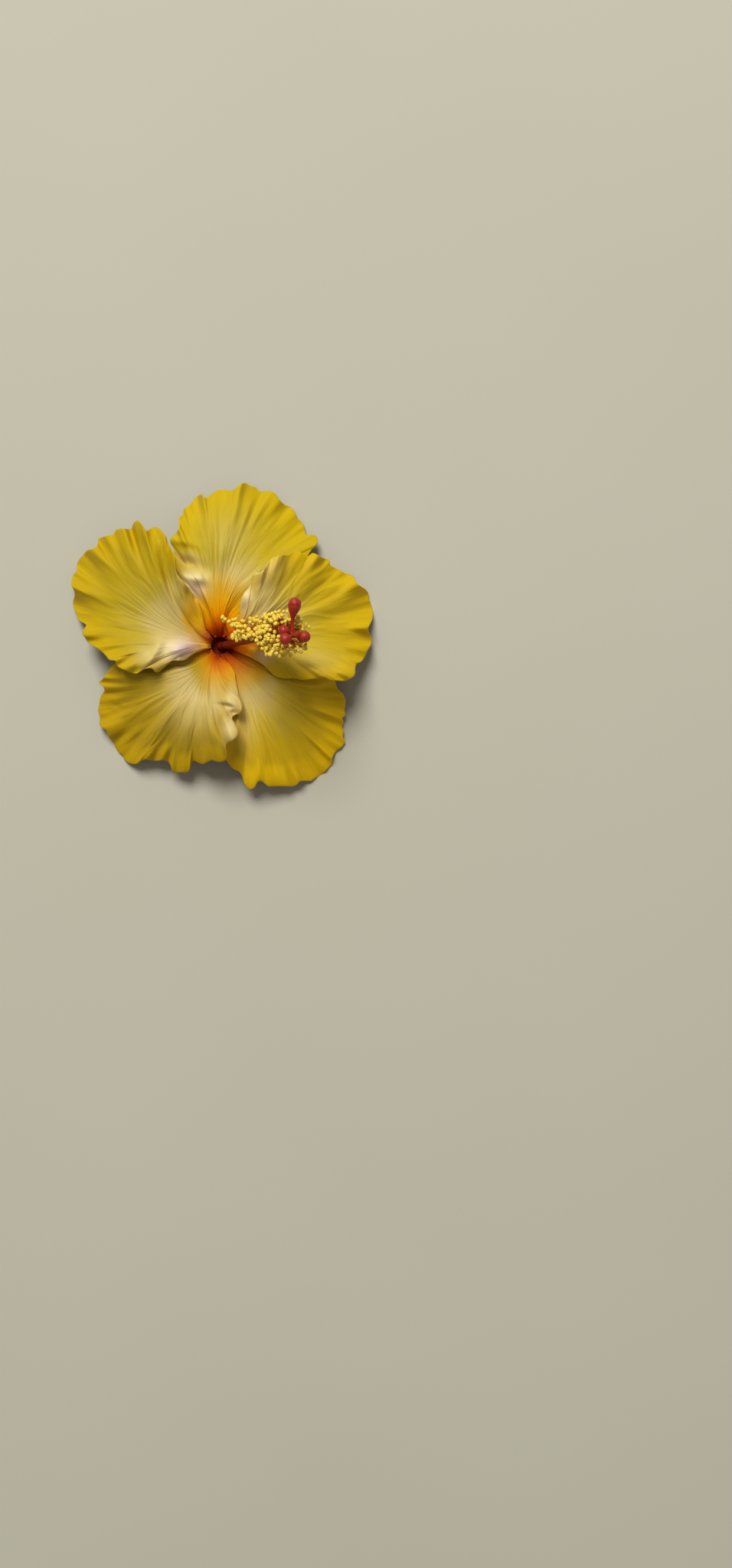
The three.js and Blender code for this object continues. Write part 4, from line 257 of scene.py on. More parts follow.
TUFTS = [
    {"root": [3.66, 2.85, 15.6], "anthers": [[2.24, 9.33, 21.94], [3.1, 8.42, 22.98]]},
    {"root": [9.85, 1.68, 20.28], "anthers": [[14.88, 0.88, 22.84], [16.84, 2.14, 23.53], [16.01, 2.87, 21.85], [15.06, 4.3, 24.31]]},
    {"root": [7.3, 2.68, 21.67], "anthers": [[12.28, 6.02, 24.71], [4.46, 7.56, 22.77], [7.39, 7.66, 28.77], [6.35, 5.25, 30.66]]},
    {"root": [13.11, 0.28, 26.01], "anthers": [[20.8, -4.36, 31.04], [16.84, -1.04, 27.14], [18.97, -0.35, 28.49], [17.57, 2.24, 27.16], [19.35, 3.08, 28.72]]},
    {"root": [11.36, 2.49, 27.06], "anthers": [[17.37, 3.18, 29.23], [18, 5.35, 26.72], [15.38, 5.28, 28.5], [7.87, 1.55, 35.1], [7.18, 0.2, 37.11]]},
    {"root": [16.47, -0.28, 32.06], "anthers": [[20.63, -4.38, 37.19], [19.74, -3.34, 33.82], [22.24, -2.13, 34.67], [24.98, 0.64, 34.01], [21.2, 1.07, 32.43], [21.41, 4.47, 32.06]]},
    {"root": [14.71, 2.22, 33.18], "anthers": [[21.35, 4.83, 37.44], [20.59, 5.59, 35.3], [18.71, 7.67, 32.97], [11.23, 5.57, 40.27], [9.56, 4.7, 38.12]]},
    {"root": [12.92, 0.5, 34.17], "anthers": [[12.27, 3.36, 43.83], [9.27, 2.73, 39.37], [11.5, 1.56, 44.12], [9.77, 0.55, 39.81], [8.88, -0.94, 39.5]]},
    {"root": [20.17, -0.46, 38.19], "anthers": [[26.16, -4.28, 40.85], [25.36, -3.46, 37.16], [24.22, -1.23, 37.33], [25.15, 0.17, 40.16], [27.18, 2.61, 38.35]]},
    {"root": [18.63, 1.95, 39.26], "anthers": [[23.63, 2.29, 39.3], [24.8, 3.03, 42.14], [24.01, 6.92, 43.05], [16.19, 4.75, 48.37], [14.22, 3.59, 45.33]]},
    {"root": [16.67, -0.09, 40.41], "anthers": [[13.78, 1.77, 46.92], [14.12, -0.32, 48.39], [11.83, -0.33, 44.87], [14.71, -1.28, 46.39]]},
    {"root": [23.29, -0.88, 43.09], "anthers": [[24.88, -4.65, 43.69], [27, -3.54, 44.74], [28.18, -2.51, 45.56], [28.29, 0.86, 44.97], [30.01, 2.77, 44.01]]},
    {"root": [21.86, 1.73, 44.17], "anthers": [[25.68, 3.44, 44.32], [25.76, 5.55, 44.17], [26.11, 4.81, 46.18], [19.55, 6.59, 49.85], [20.99, 6.36, 51.65]]},
    {"root": [20.12, 0.6, 45.29], "anthers": [[19.89, 4.76, 49.79], [17.96, 4.18, 50.95], [17.26, 2.87, 48.73], [16.4, 1.68, 50.93], [18.03, 0.81, 53.48]]},
    {"root": [19.98, -0.91, 45.33], "anthers": [[17.29, -0.03, 51.74], [15.83, -0.34, 51.03], [17.44, -3.31, 51.92], [19.35, -3.87, 51.02], [18.99, -5.19, 52.5]]},
    {"root": [23.63, 1.44, 48.35], "anthers": [[25.61, 5.27, 48.89], [23.3, 7.27, 51.49], [22.28, 6.53, 53.42], [19.73, 3.59, 53.01]]},
    {"root": [22.7, 0.41, 48.98], "anthers": [[20.87, 2.01, 55.46], [19.13, 2.22, 54.29], [23.22, 0.17, 55.01], [19.63, 0.24, 55.78], [18.33, -1.53, 54.03]]},
    {"root": [22.57, -1.09, 49], "anthers": [[21.81, -1.4, 54.78], [20.09, -2.37, 56.07], [22.2, -2.87, 55.94], [18.86, -3.86, 53.51], [22.67, -2.99, 53.82]]},
    {"root": [23.31, -2.28, 48.42], "anthers": [[20.38, -5.37, 54.32], [20.69, -4.63, 52.87], [20.01, -6.22, 52.46], [22.26, -6.63, 55.3], [21.45, -6.83, 53.39]]},
    {"root": [24.52, -2.51, 47.53], "anthers": [[23.88, -6.74, 53.17], [25.64, -6.65, 52.31], [26.82, -6.42, 48.79], [28.7, -5.1, 50.29], [28.65, -4.7, 48.44]]},
    {"root": [25.77, -1.1, 46.68], "anthers": [[29.41, -4.23, 46.84], [31.62, -4.01, 47.83], [30.81, -1.86, 44.07], [30.31, -1.45, 47.44], [32.95, -0.65, 46.63]]},
    {"root": [25.56, 0.73, 46.91], "anthers": [[30.8, 0.85, 45.67], [30.06, 1.51, 47.78], [31.9, 5.21, 48.3], [30.16, 3.03, 49.6], [27.27, 3.58, 47.2]]},
    {"root": [27.76, 0.51, 49.73], "anthers": [[34.55, 2.52, 48.83], [32.48, 1.4, 50.61], [33.54, 3.48, 48.02], [31.6, 3.2, 51.32]]},
    {"root": [26.78, 1.39, 50.54], "anthers": [[30.99, 5.91, 50.48], [30.4, 4.6, 51.81], [27.52, 7.44, 52.37], [28.4, 6.3, 54.24], [28.28, 4.13, 54.35]]},
    {"root": [25.6, 1.16, 51.45], "anthers": [[26.35, 7.05, 55.48], [24.36, 5.99, 54.66], [25.79, 5.6, 56.75], [25.67, 3.54, 54.95], [23.13, 5.13, 56.36]]},
    {"root": [24.84, -0.03, 52], "anthers": [[24.18, 2.82, 55.85], [22.31, 3.57, 57.52]]},
    {"root": [24.91, -1.54, 51.87], "anthers": [[23.07, -1.63, 57.32], [24.35, -2.97, 57.3], [23.5, -4.83, 57.95], [24.6, -5.75, 56.36]]},
    {"root": [25.77, -2.55, 51.15], "anthers": [[25.85, -4.73, 55.7], [23.88, -7.25, 56.38], [25.06, -5.92, 54.68], [26.6, -6.42, 54.49], [27.61, -5.76, 53.07]]},
    {"root": [27.65, -1.84, 49.71], "anthers": [[30.31, -5.24, 51.47], [32.87, -4.66, 49.88], [31.08, -3.25, 49.62], [33.41, -3.43, 48.07]]},
]

STIGMAS = [
    ("stigma_1", [30.13, 9.36, 57.5], 2.15),
    ("stigma_2", [27.08, -2.77, 60.3], 1.95),
    ("stigma_3", [26.37, 0.41, 57], 1.85),
    ("stigma_4", [33.47, -1.7, 57.5], 1.95),
    ("stigma_5", [32.59, -1.39, 52.3], 1.8),
]


# ------------------------------------------------------------------ curves and noise
def sst(x, a, b):
    t = np.clip((np.asarray(x, float) - a) / (b - a), 0, 1)
    return t * t * (3 - 2 * t)


def curve(t, y):
    t, y = np.asarray(t, float), np.asarray(y, float)
    n = len(t)
    m = np.empty(n)
    m[1:-1] = (y[2:] - y[:-2]) / (t[2:] - t[:-2])
    m[0] = (y[1] - y[0]) / (t[1] - t[0])
    m[-1] = (y[-1] - y[-2]) / (t[-1] - t[-2])

    def f(x):
        x = np.asarray(x, float)
        i = np.clip(np.searchsorted(t, x, side="right") - 1, 0, n - 2)
        h = t[i + 1] - t[i]
        g = (x - t[i]) / h
        return ((2 * g**3 - 3 * g**2 + 1) * y[i] + (g**3 - 2 * g**2 + g) * h * m[i]
                + (-2 * g**3 + 3 * g**2) * y[i + 1] + (g**3 - g**2) * h * m[i + 1])
    return f


def lattice_noise(seed, nx, ny):
    """Smooth noise in -1..1 over a lattice nx by ny; read with coordinates in lattice steps."""
    v = np.random.RandomState(seed).uniform(-1, 1, (nx, ny))

    def f(x, y):
        x, y = np.broadcast_arrays(np.asarray(x, float), np.asarray(y, float))
        xi, yi = np.floor(x).astype(int), np.floor(y).astype(int)
        fx, fy = x - xi, y - yi
        fx, fy = fx * fx * (3 - 2 * fx), fy * fy * (3 - 2 * fy)
        a, b = v[xi % nx, yi % ny], v[(xi + 1) % nx, yi % ny]
        c, d = v[xi % nx, (yi + 1) % ny], v[(xi + 1) % nx, (yi + 1) % ny]
        return (a * (1 - fx) + b * fx) * (1 - fy) + (c * (1 - fx) + d * fx) * fy
    return f


profile_curve = curve(PROFILE_R, PROFILE_Z)


def profile(r):
    return profile_curve(np.minimum(r, 64.0))


def carry(x, y, z):
    f = (APEX[2] - z) / (APEX[2] - PLAN_Z)
    return np.stack([APEX[0] + (x - APEX[0]) * f, APEX[1] + (y - APEX[1]) * f, z + 0 * x], -1)


# ------------------------------------------------------------------ mesh helpers
def make_mesh(name, verts, faces, materials, smooth=True, face_material=None):
    me = bpy.data.meshes.new(name)
    v = np.asarray(verts, float).copy()
    v[:, 0] += THROAT[0]
    v[:, 1] += THROAT[1]
    me.from_pydata((v * MM).tolist(), [], [tuple(f) for f in faces])
    me.update()
    for m in materials:
        me.materials.append(m)
    if smooth:
        me.polygons.foreach_set("use_smooth", [True] * len(me.polygons))
    if face_material is not None:
        me.polygons.foreach_set("material_index", np.asarray(face_material, np.int32))
    me.validate()
    ob = bpy.data.objects.new(name, me)
    bpy.context.scene.collection.objects.link(ob)
    return ob


def set_attribute(ob, name, values):
    a = ob.data.attributes.new(name, "FLOAT", "POINT")
    a.data.foreach_set("value", np.asarray(values, np.float32))


def piece(ob, nodes):
    if isinstance(nodes, str):
        nodes = [nodes]
    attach(ob, "root")
    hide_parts(*nodes)


def grid_quads(rows, cols, start, flip):
    i, j = np.meshgrid(np.arange(rows), np.arange(cols), indexing="ij")
    a = start + i * (cols + 1) + j
    b, c, d = a + cols + 1, a + cols + 2, a + 1
    q = np.stack([a, b, c, d], -1) if not flip else np.stack([a, d, c, b], -1)
    return q.reshape(-1, 4)


def loft(centres, radii, sides, up=(0.0, 1.0, 0.0), squash=None):
    """Round bar along a centre line: radii (n,) or (n, sides). Returns verts and faces, closed at both ends."""
    c = np.asarray(centres, float)
    n = len(c)
    d = np.gradient(c, axis=0)
    d /= np.linalg.norm(d, axis=1, keepdims=True)
    x = np.cross(np.asarray(up, float)[None], d)
    x /= np.linalg.norm(x, axis=1, keepdims=True)
    y = np.cross(d, x)
    th = np.arange(sides) * 2 * math.pi / sides
    r = np.asarray(radii, float)
    if r.ndim == 1:
        r = r[:, None].repeat(sides, 1)
    v = c[:, None] + r[..., None] * (np.cos(th)[None, :, None] * x[:, None] + np.sin(th)[None, :, None] * y[:, None])
    verts = np.concatenate([v.reshape(-1, 3), c[:1], c[-1:]])
    i, k = np.meshgrid(np.arange(n - 1), np.arange(sides), indexing="ij")
    a = i * sides + k
    b = i * sides + (k + 1) % sides
    faces = np.stack([a, b, b + sides, a + sides], -1).reshape(-1, 4).tolist()
    first, last = n * sides, n * sides + 1
    for k in range(sides):
        m = (k + 1) % sides
        faces.append((first, m, k))
        faces.append((last, (n - 1) * sides + k, (n - 1) * sides + m))
    return verts, faces


def join(parts):
    """Joins (verts, faces, material index) parts into one."""
    V, F, M = [], [], []
    o = 0
    for v, f, m in parts:
        V.append(np.asarray(v, float))
        F += [tuple(int(x) + o for x in q) for q in f]
        M += [m] * len(f)
        o += len(v)
    return np.concatenate(V), F, M


# ------------------------------------------------------------------ materials
def new_material(name):
    m = bpy.data.materials.new(name)
    m.use_nodes = True
    nt = m.node_tree
    for n in list(nt.nodes):
        nt.nodes.remove(n)
    out = nt.nodes.new("ShaderNodeOutputMaterial")
    bsdf = nt.nodes.new("ShaderNodeBsdfPrincipled")
    nt.links.new(bsdf.outputs[0], out.inputs[0])
    return m, nt, bsdf


def srgb(r, g, b):
    c = np.array([r, g, b]) / 255.0
    c = np.where(c <= 0.04045, c / 12.92, ((c + 0.055) / 1.055) ** 2.4)
    return (float(c[0]), float(c[1]), float(c[2]), 1.0)


class Nodes:
    def __init__(self, nt):
        self.nt = nt

    def link(self, a, b):
        self.nt.links.new(a, b)

    def value(self, socket, v):
        if hasattr(v, "is_output") or isinstance(v, bpy.types.NodeSocket):
            self.nt.links.new(v, socket)
        else:
            socket.default_value = v

    def attribute(self, name):
        n = self.nt.nodes.new("ShaderNodeAttribute")
        n.attribute_name = name
        return n.outputs["Fac"]

    def math(self, op, a, b=0.0, c=None, clamp=False):
        n = self.nt.nodes.new("ShaderNodeMath")
        n.operation = op
        n.use_clamp = clamp
        self.value(n.inputs[0], a)
        self.value(n.inputs[1], b)
        if c is not None:
            self.value(n.inputs[2], c)
        return n.outputs[0]

    def step(self, x, a, b):
        n = self.nt.nodes.new("ShaderNodeMapRange")
        n.interpolation_type = "SMOOTHSTEP"
        self.value(n.inputs["Value"], x)
        n.inputs["From Min"].default_value = a
        n.inputs["From Max"].default_value = b
        return n.outputs["Result"]

    def combine(self, x, y, z=0.0):
        n = self.nt.nodes.new("ShaderNodeCombineXYZ")
        self.value(n.inputs[0], x)
        self.value(n.inputs[1], y)
        self.value(n.inputs[2], z)
        return n.outputs[0]

    def noise(self, vector, scale, detail=3.0, rough=0.5, distortion=0.0):
        n = self.nt.nodes.new("ShaderNodeTexNoise")
        self.value(n.inputs["Vector"], vector)
        n.inputs["Scale"].default_value = scale
        n.inputs["Detail"].default_value = detail
        n.inputs["Roughness"].default_value = rough
        n.inputs["Distortion"].default_value = distortion
        return n.outputs["Fac"]

    def coords(self):
        n = self.nt.nodes.new("ShaderNodeTexCoord")
        return n.outputs["Object"]

    def ramp(self, fac, stops, mode="EASE"):
        n = self.nt.nodes.new("ShaderNodeValToRGB")
        n.color_ramp.interpolation = mode
        e = n.color_ramp.elements
        e[0].position, e[0].color = stops[0]
        e[1].position, e[1].color = stops[-1]
        for p, c in stops[1:-1]:
            k = e.new(p)
            k.color = c
        self.value(n.inputs[0], fac)
        return n.outputs["Color"]

    def mix(self, fac, a, b, blend="MIX"):
        n = self.nt.nodes.new("ShaderNodeMix")
        n.data_type = "RGBA"
        n.blend_type = blend
        self.value(n.inputs[0], fac)
        self.value(n.inputs[6], a)
        self.value(n.inputs[7], b)
        return n.outputs[2]

    def bump(self, height, distance, strength=1.0, normal=None):
        n = self.nt.nodes.new("ShaderNodeBump")
        n.inputs["Strength"].default_value = strength
        n.inputs["Distance"].default_value = distance
        self.value(n.inputs["Height"], height)
        if normal is not None:
            self.value(n.inputs["Normal"], normal)
        return n.outputs["Normal"]


def petal_material(name, seed, claw_tint_and_painted_light, heart_tint_and_painted_glow, tone_and_painted_light):
    """Living petal: throat red, orange, cream and yellow zones from the throat outwards, with
    fan streaks, whitish side lobes with a lilac tinge, and fine veins in the bump. Per-petal gains
    on the heart and limb colours are partly tint and partly painted light and shade."""
    m, nt, bsdf = new_material(name)
    N = Nodes(nt)
    reach, fan, along = N.attribute("reach"), N.attribute("fan"), N.attribute("along")
    pale_and_painted_highlight, lilac, warm = N.attribute("pale_and_painted_highlight"), N.attribute("lilac"), N.attribute("warm")
    streak_v = N.combine(N.math("MULTIPLY", fan, 26.0), N.math("MULTIPLY", along, 2.2), seed * 3.7)
    streak = N.noise(streak_v, 1.0, 4.0, 0.6)
    fine_v = N.combine(N.math("MULTIPLY", fan, 95.0), N.math("MULTIPLY", along, 5.0), seed * 1.3)
    fine = N.noise(fine_v, 1.0, 3.0, 0.6)
    blotch = N.noise(N.coords(), 55.0, 3.0, 0.5)
    # inner zones by distance from the throat, outer ones by the way along to the margin, ragged along the fan
    z = N.math("ADD", reach, N.math("MULTIPLY", N.math("SUBTRACT", streak, 0.5), 0.34))
    z = N.math("ADD", z, N.math("MULTIPLY", N.math("SUBTRACT", blotch, 0.5), 0.16))
    z = N.math("SUBTRACT", z, warm)
    inner = N.ramp(N.math("MULTIPLY", z, 0.5), HEART, "LINEAR")
    # per-petal heart gains, partly tint and partly painted light: claws turned from or across the key light are
    # lightened as a painted glow, the lower claws facing it darkened
    tint = N.mix(N.step(z, 0.50, 0.95), (*claw_tint_and_painted_light, 1), (*heart_tint_and_painted_glow, 1))
    inner = N.mix(1.0, inner, tint, "MULTIPLY")
    q = N.math("ADD", along, N.math("MULTIPLY", N.math("SUBTRACT", streak, 0.5), 0.30))
    q = N.math("ADD", q, N.math("MULTIPLY", N.math("SUBTRACT", blotch, 0.5), 0.18))
    outer = N.ramp(q, LIMB)
    # per-petal limb gain, partly tint and partly painted light and shade: the lower right petal, lying in the right
    # petal's shadow, is lightened most, the lower left one darkened
    outer = N.mix(N.step(q, 0.35, 0.65), outer, N.mix(1.0, outer, (*tone_and_painted_light, 1), "MULTIPLY"))
    color = N.mix(N.step(z, 0.98, 1.38), inner, outer)
    # whitish side lobes and lilac blush; a thin whitish line on the right petal's flap rim is a painted highlight
    color = N.mix(pale_and_painted_highlight, color, srgb(236, 219, 168))
    color = N.mix(lilac, color, srgb(218, 192, 200))
    # streaks: slightly deeper and lighter fan lines
    tone_and_painted_light = N.math("MULTIPLY_ADD", N.math("SUBTRACT", fine, 0.5), 0.20, 1.0)
    tone_and_painted_light = N.math("ADD", tone_and_painted_light, N.math("MULTIPLY", N.math("SUBTRACT", streak, 0.5), 0.16))
    grey = N.combine(tone_and_painted_light, tone_and_painted_light, tone_and_painted_light)
    color = N.mix(1.0, color, grey, "MULTIPLY")
    N.link(color, bsdf.inputs["Base Color"])
    rough = N.math("MULTIPLY_ADD", fine, 0.16, 0.44)
    N.link(rough, bsdf.inputs["Roughness"])
    h = N.math("ADD", N.math("MULTIPLY", fine, 0.6), N.math("MULTIPLY", streak, 0.5))
    grain = N.noise(N.coords(), 1500.0, 2.0, 0.5)
    h = N.math("ADD", h, N.math("MULTIPLY", grain, 0.22))
    N.link(N.bump(h, 0.00022, 0.8), bsdf.inputs["Normal"])
    bsdf.inputs["Subsurface Weight"].default_value = 0.30
    bsdf.inputs["Subsurface Radius"].default_value = (1.0, 0.62, 0.22)
    bsdf.inputs["Subsurface Scale"].default_value = 0.0008
    bsdf.inputs["Specular IOR Level"].default_value = 0.10
    return m


def plain_material(name, dark, light, scale, rough, bump_d, sheen=0.0, sss=0.0, sss_radius=(1.0, 0.3, 0.15), spec=0.4, detail_scale=None, stretch=None):
    m, nt, bsdf = new_material(name)
    N = Nodes(nt)
    co = N.coords()
    n1 = N.noise(co, scale, 4.0, 0.6)
    color = N.mix(N.step(n1, 0.32, 0.68), dark, light)
    N.link(color, bsdf.inputs["Base Color"])
    N.link(N.math("MULTIPLY_ADD", n1, 0.2, rough - 0.1), bsdf.inputs["Roughness"])
    n2 = N.noise(co, detail_scale or scale * 6, 3.0, 0.6)
    N.link(N.bump(n2, bump_d, 0.8), bsdf.inputs["Normal"])
    bsdf.inputs["Sheen Weight"].default_value = sheen
    bsdf.inputs["Subsurface Weight"].default_value = sss
    bsdf.inputs["Subsurface Radius"].default_value = sss_radius
    bsdf.inputs["Subsurface Scale"].default_value = 0.001
    bsdf.inputs["Specular IOR Level"].default_value = spec
    return m


# inner colours from the throat (0) to twice the blush radius (1)
HEART = [
    (0.00, (0.180, 0.009, 0.001, 1)),
    (0.11, (0.320, 0.028, 0.001, 1)),
    (0.18, (0.560, 0.100, 0.001, 1)),
    (0.26, (0.640, 0.200, 0.001, 1)),
    (0.36, (0.650, 0.300, 0.003, 1)),
    (0.45, (0.640, 0.370, 0.010, 1)),
    (0.54, (0.620, 0.405, 0.018, 1)),
    (0.70, (0.600, 0.440, 0.110, 1)),
]
# the limb from the claw (0) to the margin (1)
LIMB = [
    (0.00, (0.540, 0.420, 0.150, 1)),
    (0.42, (0.540, 0.415, 0.135, 1)),
    (0.60, (0.480, 0.360, 0.042, 1)),
    (0.78, (0.480, 0.340, 0.012, 1)),
    (1.00, (0.540, 0.368, 0.003, 1)),
]


# ------------------------------------------------------------------ petals
def petal_surface(P):
    a = np.array(P["margin"], float)
    along = np.r_[0, np.cumsum(np.hypot(np.diff(a[:, 0]), np.diff(a[:, 1])))]
    t = 2 * along / along[-1] - 1
    mx, my, lift = curve(t, a[:, 0]), curve(t, a[:, 1]), curve(t, a[:, 2])
    ev = lambda v: curve(np.linspace(-1, 1, len(v)), v)
    folds = [ev(v) for v in P["folds"]]
    axis = math.radians(P["axis"])
    w0, w1, w2, w3 = P["window"]

    def plan(u, s):
        th = np.radians(P["from"] + (P["to"] - P["from"]) * (s + 1) / 2)
        bx, by = CLAW_RADIUS * np.cos(th), CLAW_RADIUS * np.sin(th)
        ex, ey = mx(s), my(s)
        dx, dy = 0.55 * math.cos(axis) + 0.45 * np.cos(th), 0.55 * math.sin(axis) + 0.45 * np.sin(th)
        l = np.hypot(ex - bx, ey - by) * 0.42 / np.hypot(dx, dy)
        cx, cy, v = bx + dx * l, by + dy * l, 1 - u
        return v * v * bx + 2 * u * v * cx + u * u * ex, v * v * by + 2 * u * v * cy + u * u * ey

    def height(u, s, x, y):
        r = np.hypot(x, y)
        d = lift(s)
        near = np.clip(d, -1.7, 1.7)
        w = sst(s, w0, w1) * (1 - sst(s, w2, w3))
        z = (profile(r) + near * sst(r, 2.9, 4.7) + (d - near) * sst(u, 0.1, 0.7)
             + w * sum(f(s) * sst(u, a, b) for f, (a, b) in zip(folds, RISES))
             - P["drop"] * sst(r, FALL_FROM, FALL_TO))
        for px, py, ax, ay, turn, h in P["swells"]:
            c, sn = math.cos(math.radians(turn)), math.sin(math.radians(turn))
            z = z + h * np.exp(-(((x - px) * c + (y - py) * sn) / ax) ** 2 - ((-(x - px) * sn + (y - py) * c) / ay) ** 2)
        return z
    return plan, height, (mx, my)


NU, NS = 96, 280


def build_petal(name, P, seed):
    plan, height, (mx, my) = petal_surface(P)
    s1 = np.linspace(-1, 1, NS + 1)
    th = np.radians(P["from"] + (P["to"] - P["from"]) * (s1 + 1) / 2)
    length = np.hypot(mx(s1) - CLAW_RADIUS * np.cos(th), my(s1) - CLAW_RADIUS * np.sin(th))
    rim = np.array([0.42, 0.26, 0.14, 0.06, 0.0])          # mm in from the margin
    span = np.minimum(1.0, 0.45 * length / rim[0])          # short lines near the claw
    n_in = NU - len(rim) + 1
    u_in = np.linspace(0, 1, n_in + 1)[:, None] * (1 - rim[0] * span / length)[None]
    u_rim = 1 - rim[1:, None] * span[None] / length[None]
    u = np.concatenate([u_in, u_rim])
    s = np.broadcast_to(s1, u.shape)
    x, y = plan(u, s)
    z = height(u, s, x, y)
    r = np.hypot(x, y)
    # relief: veins fan out and fork, and the frilled margin crimps finely
    na, nb, nc = lattice_noise(seed, 97, 13), lattice_noise(seed + 1, 211, 17), lattice_noise(seed + 2, 61, 9)
    inner = sst(r, 7, 16)
    vein = -np.abs(na((s + 1) * 21 + 1.2 * nc((s + 1) * 6, u * 5), u * 3.0)) * 0.34 + 0.12
    vein2 = -np.abs(nb((s + 1) * 47 + 0.8 * nc((s + 1) * 9 + 7, u * 7), u * 5.0)) * 0.16 + 0.06
    z = z + inner * P["vein"] * (vein * (0.45 + 0.55 * sst(u, 0.35, 0.9)) + vein2)
    crimp = lattice_noise(seed + 3, 131, 11)
    inside = sst(s, P["window"][0] - 0.1, P["window"][1]) * (1 - sst(s, P["window"][2], P["window"][3] + 0.1))
    z = z + inside * crimp((s + 1) * 30, u * 4) * P["crimp"] * sst(u, 0.70, 1.0)
    mid = carry(x, y, z)
    # thickness, thinning to a rounded rim
    du, ds = np.gradient(mid, axis=0), np.gradient(mid, axis=1)
    n = np.cross(du, ds)
    n /= np.linalg.norm(n, axis=-1, keepdims=True) + 1e-12
    level = np.clip(np.abs(n[..., 2]), 0.5, 1)
    t = (PETAL_BASE_T - (PETAL_BASE_T - PETAL_EDGE_T) * sst(u, 0.55, 1)) / level
    gone = np.clip((1 - u) * length[None] / (rim[0] * span[None]), 0, 1)
    edge = np.sqrt(np.clip(1 - (1 - gone) ** 2, 0, 1))
    top = mid.copy()
    top[..., 2] -= t * 0.5 * (1 - edge)
    top[..., 2] = np.maximum(0.04, top[..., 2])
    bottom = mid.copy()
    bottom[..., 2] = np.maximum(0.0, mid[..., 2] - t * 0.5 - t * 0.5 * edge)
    rows, cols = u.shape[0] - 1, NS
    flip = P["to"] < P["from"]
    w = cols + 1
    V = np.concatenate([top.reshape(-1, 3), bottom[:-1].reshape(-1, 3)])   # the rim row is shared
    nt_ = (rows + 1) * w
    q1 = grid_quads(rows, cols, 0, flip)
    q2 = grid_quads(rows - 1, cols, nt_, not flip)
    # last bottom row joins to the shared rim row of the top
    j = np.arange(cols)
    a, d = nt_ + (rows - 1) * w + j, nt_ + (rows - 1) * w + j + 1
    b, c = rows * w + j, rows * w + j + 1
    q3 = np.stack([a, d, c, b], -1) if not flip else np.stack([a, b, c, d], -1)
    # claw end
    a, d = j, j + 1
    b, c = nt_ + j, nt_ + j + 1
    q4 = np.stack([a, d, c, b], -1) if not flip else np.stack([a, b, c, d], -1)
    # sides
    i = np.arange(rows)
    tl, tl2 = i * w, (i + 1) * w
    bl = nt_ + i * w
    bl2 = np.where(i + 1 < rows, nt_ + (i + 1) * w, rows * w)
    q5 = np.stack([tl, bl, bl2, tl2], -1) if not flip else np.stack([tl, tl2, bl2, bl], -1)
    tr, tr2 = i * w + cols, (i + 1) * w + cols
    br = nt_ + i * w + cols
    br2 = np.where(i + 1 < rows, nt_ + (i + 1) * w + cols, rows * w + cols)
    q6 = np.stack([tr, tr2, br2, br], -1) if not flip else np.stack([tr, br, br2, tr2], -1)
    faces = np.concatenate([q1, q2, q3, q4, q5, q6]).tolist()
    clean = []
    for f in faces:
        g = []
        for k in f:
            if k not in g:
                g.append(k)
        if len(g) > 2:
            clean.append(g)
    mat = petal_material(name + "_skin", seed, P["claw_tint_and_painted_light"], P["heart_tint_and_painted_glow"], P["tone_and_painted_light"])
    ob = make_mesh(name, V, clean, [mat])
    both = lambda f: np.concatenate([f.ravel(), f[:-1].ravel()])
    zr = curve(np.array(P["blush"])[:, 0], np.array(P["blush"])[:, 1])(np.clip(s, -1, 1))
    set_attribute(ob, "reach", both(r / zr))
    set_attribute(ob, "fan", both(s))
    set_attribute(ob, "along", both(u))
    pale_and_painted_highlight, lilac, warm = np.zeros_like(r), np.zeros_like(r), np.zeros_like(r)
    for kind, px, py, ax, ay, turn, amount in P["marks"]:
        c, sn = math.cos(math.radians(turn)), math.sin(math.radians(turn))
        dx, dy = x - px, y - py
        e = ((dx * c + dy * sn) / ax) ** 2 + ((-dx * sn + dy * c) / ay) ** 2
        g = amount * np.exp(-e)
        if kind == "pale_and_painted_highlight":
            pale_and_painted_highlight = np.maximum(pale_and_painted_highlight, g)
        elif kind == "lilac":
            lilac = np.maximum(lilac, g)
        else:
            warm = warm + g
    set_attribute(ob, "pale_and_painted_highlight", both(np.clip(pale_and_painted_highlight, 0, 1)))
    set_attribute(ob, "lilac", both(np.clip(lilac, 0, 1)))
    set_attribute(ob, "warm", both(np.clip(warm, -1, 1)))
    piece(ob, name)
    return ob


for k, (name, P) in enumerate(PETALS.items()):
    build_petal(name, P, 100 + 10 * k)


# ------------------------------------------------------------------ column
def column_point(t):
    t = np.asarray(t, float)[..., None]
    mid = 2 * COLUMN[1] - 0.5 * (COLUMN[0] + COLUMN[2])
    return (1 - t) ** 2 * COLUMN[0] + 2 * t * (1 - t) * mid + t**2 * COLUMN[2]


def column_radius(t):
    return 1.42 - 0.12 * np.minimum(1, t / 0.4) - 0.10 * t


column_mat = plain_material("column_skin", (0.11, 0.006, 0.001, 1), (0.22, 0.018, 0.002, 1), 260.0, 0.42, 0.00012, sss=0.15)
t = np.linspace(0, COLUMN_TOP, 90)
th = np.arange(40) * 2 * math.pi / 40
nz = lattice_noise(5, 40, 31)
ribs = 0.045 * np.cos(5 * th)[None] + 0.05 * nz(th[None] / (2 * math.pi) * 40, t[:, None] * 26)
end = np.sqrt(np.clip(1 - ((t - (COLUMN_TOP - 0.014)) / 0.0145) ** 2, 0.02, 1))
r = column_radius(t) * np.where(t > COLUMN_TOP - 0.014, end, 1.0)
v, f = loft(column_point(t), r[:, None] * (1 + ribs), 40)
piece(make_mesh("staminal_column", v, f, [column_mat]), "staminal_column")


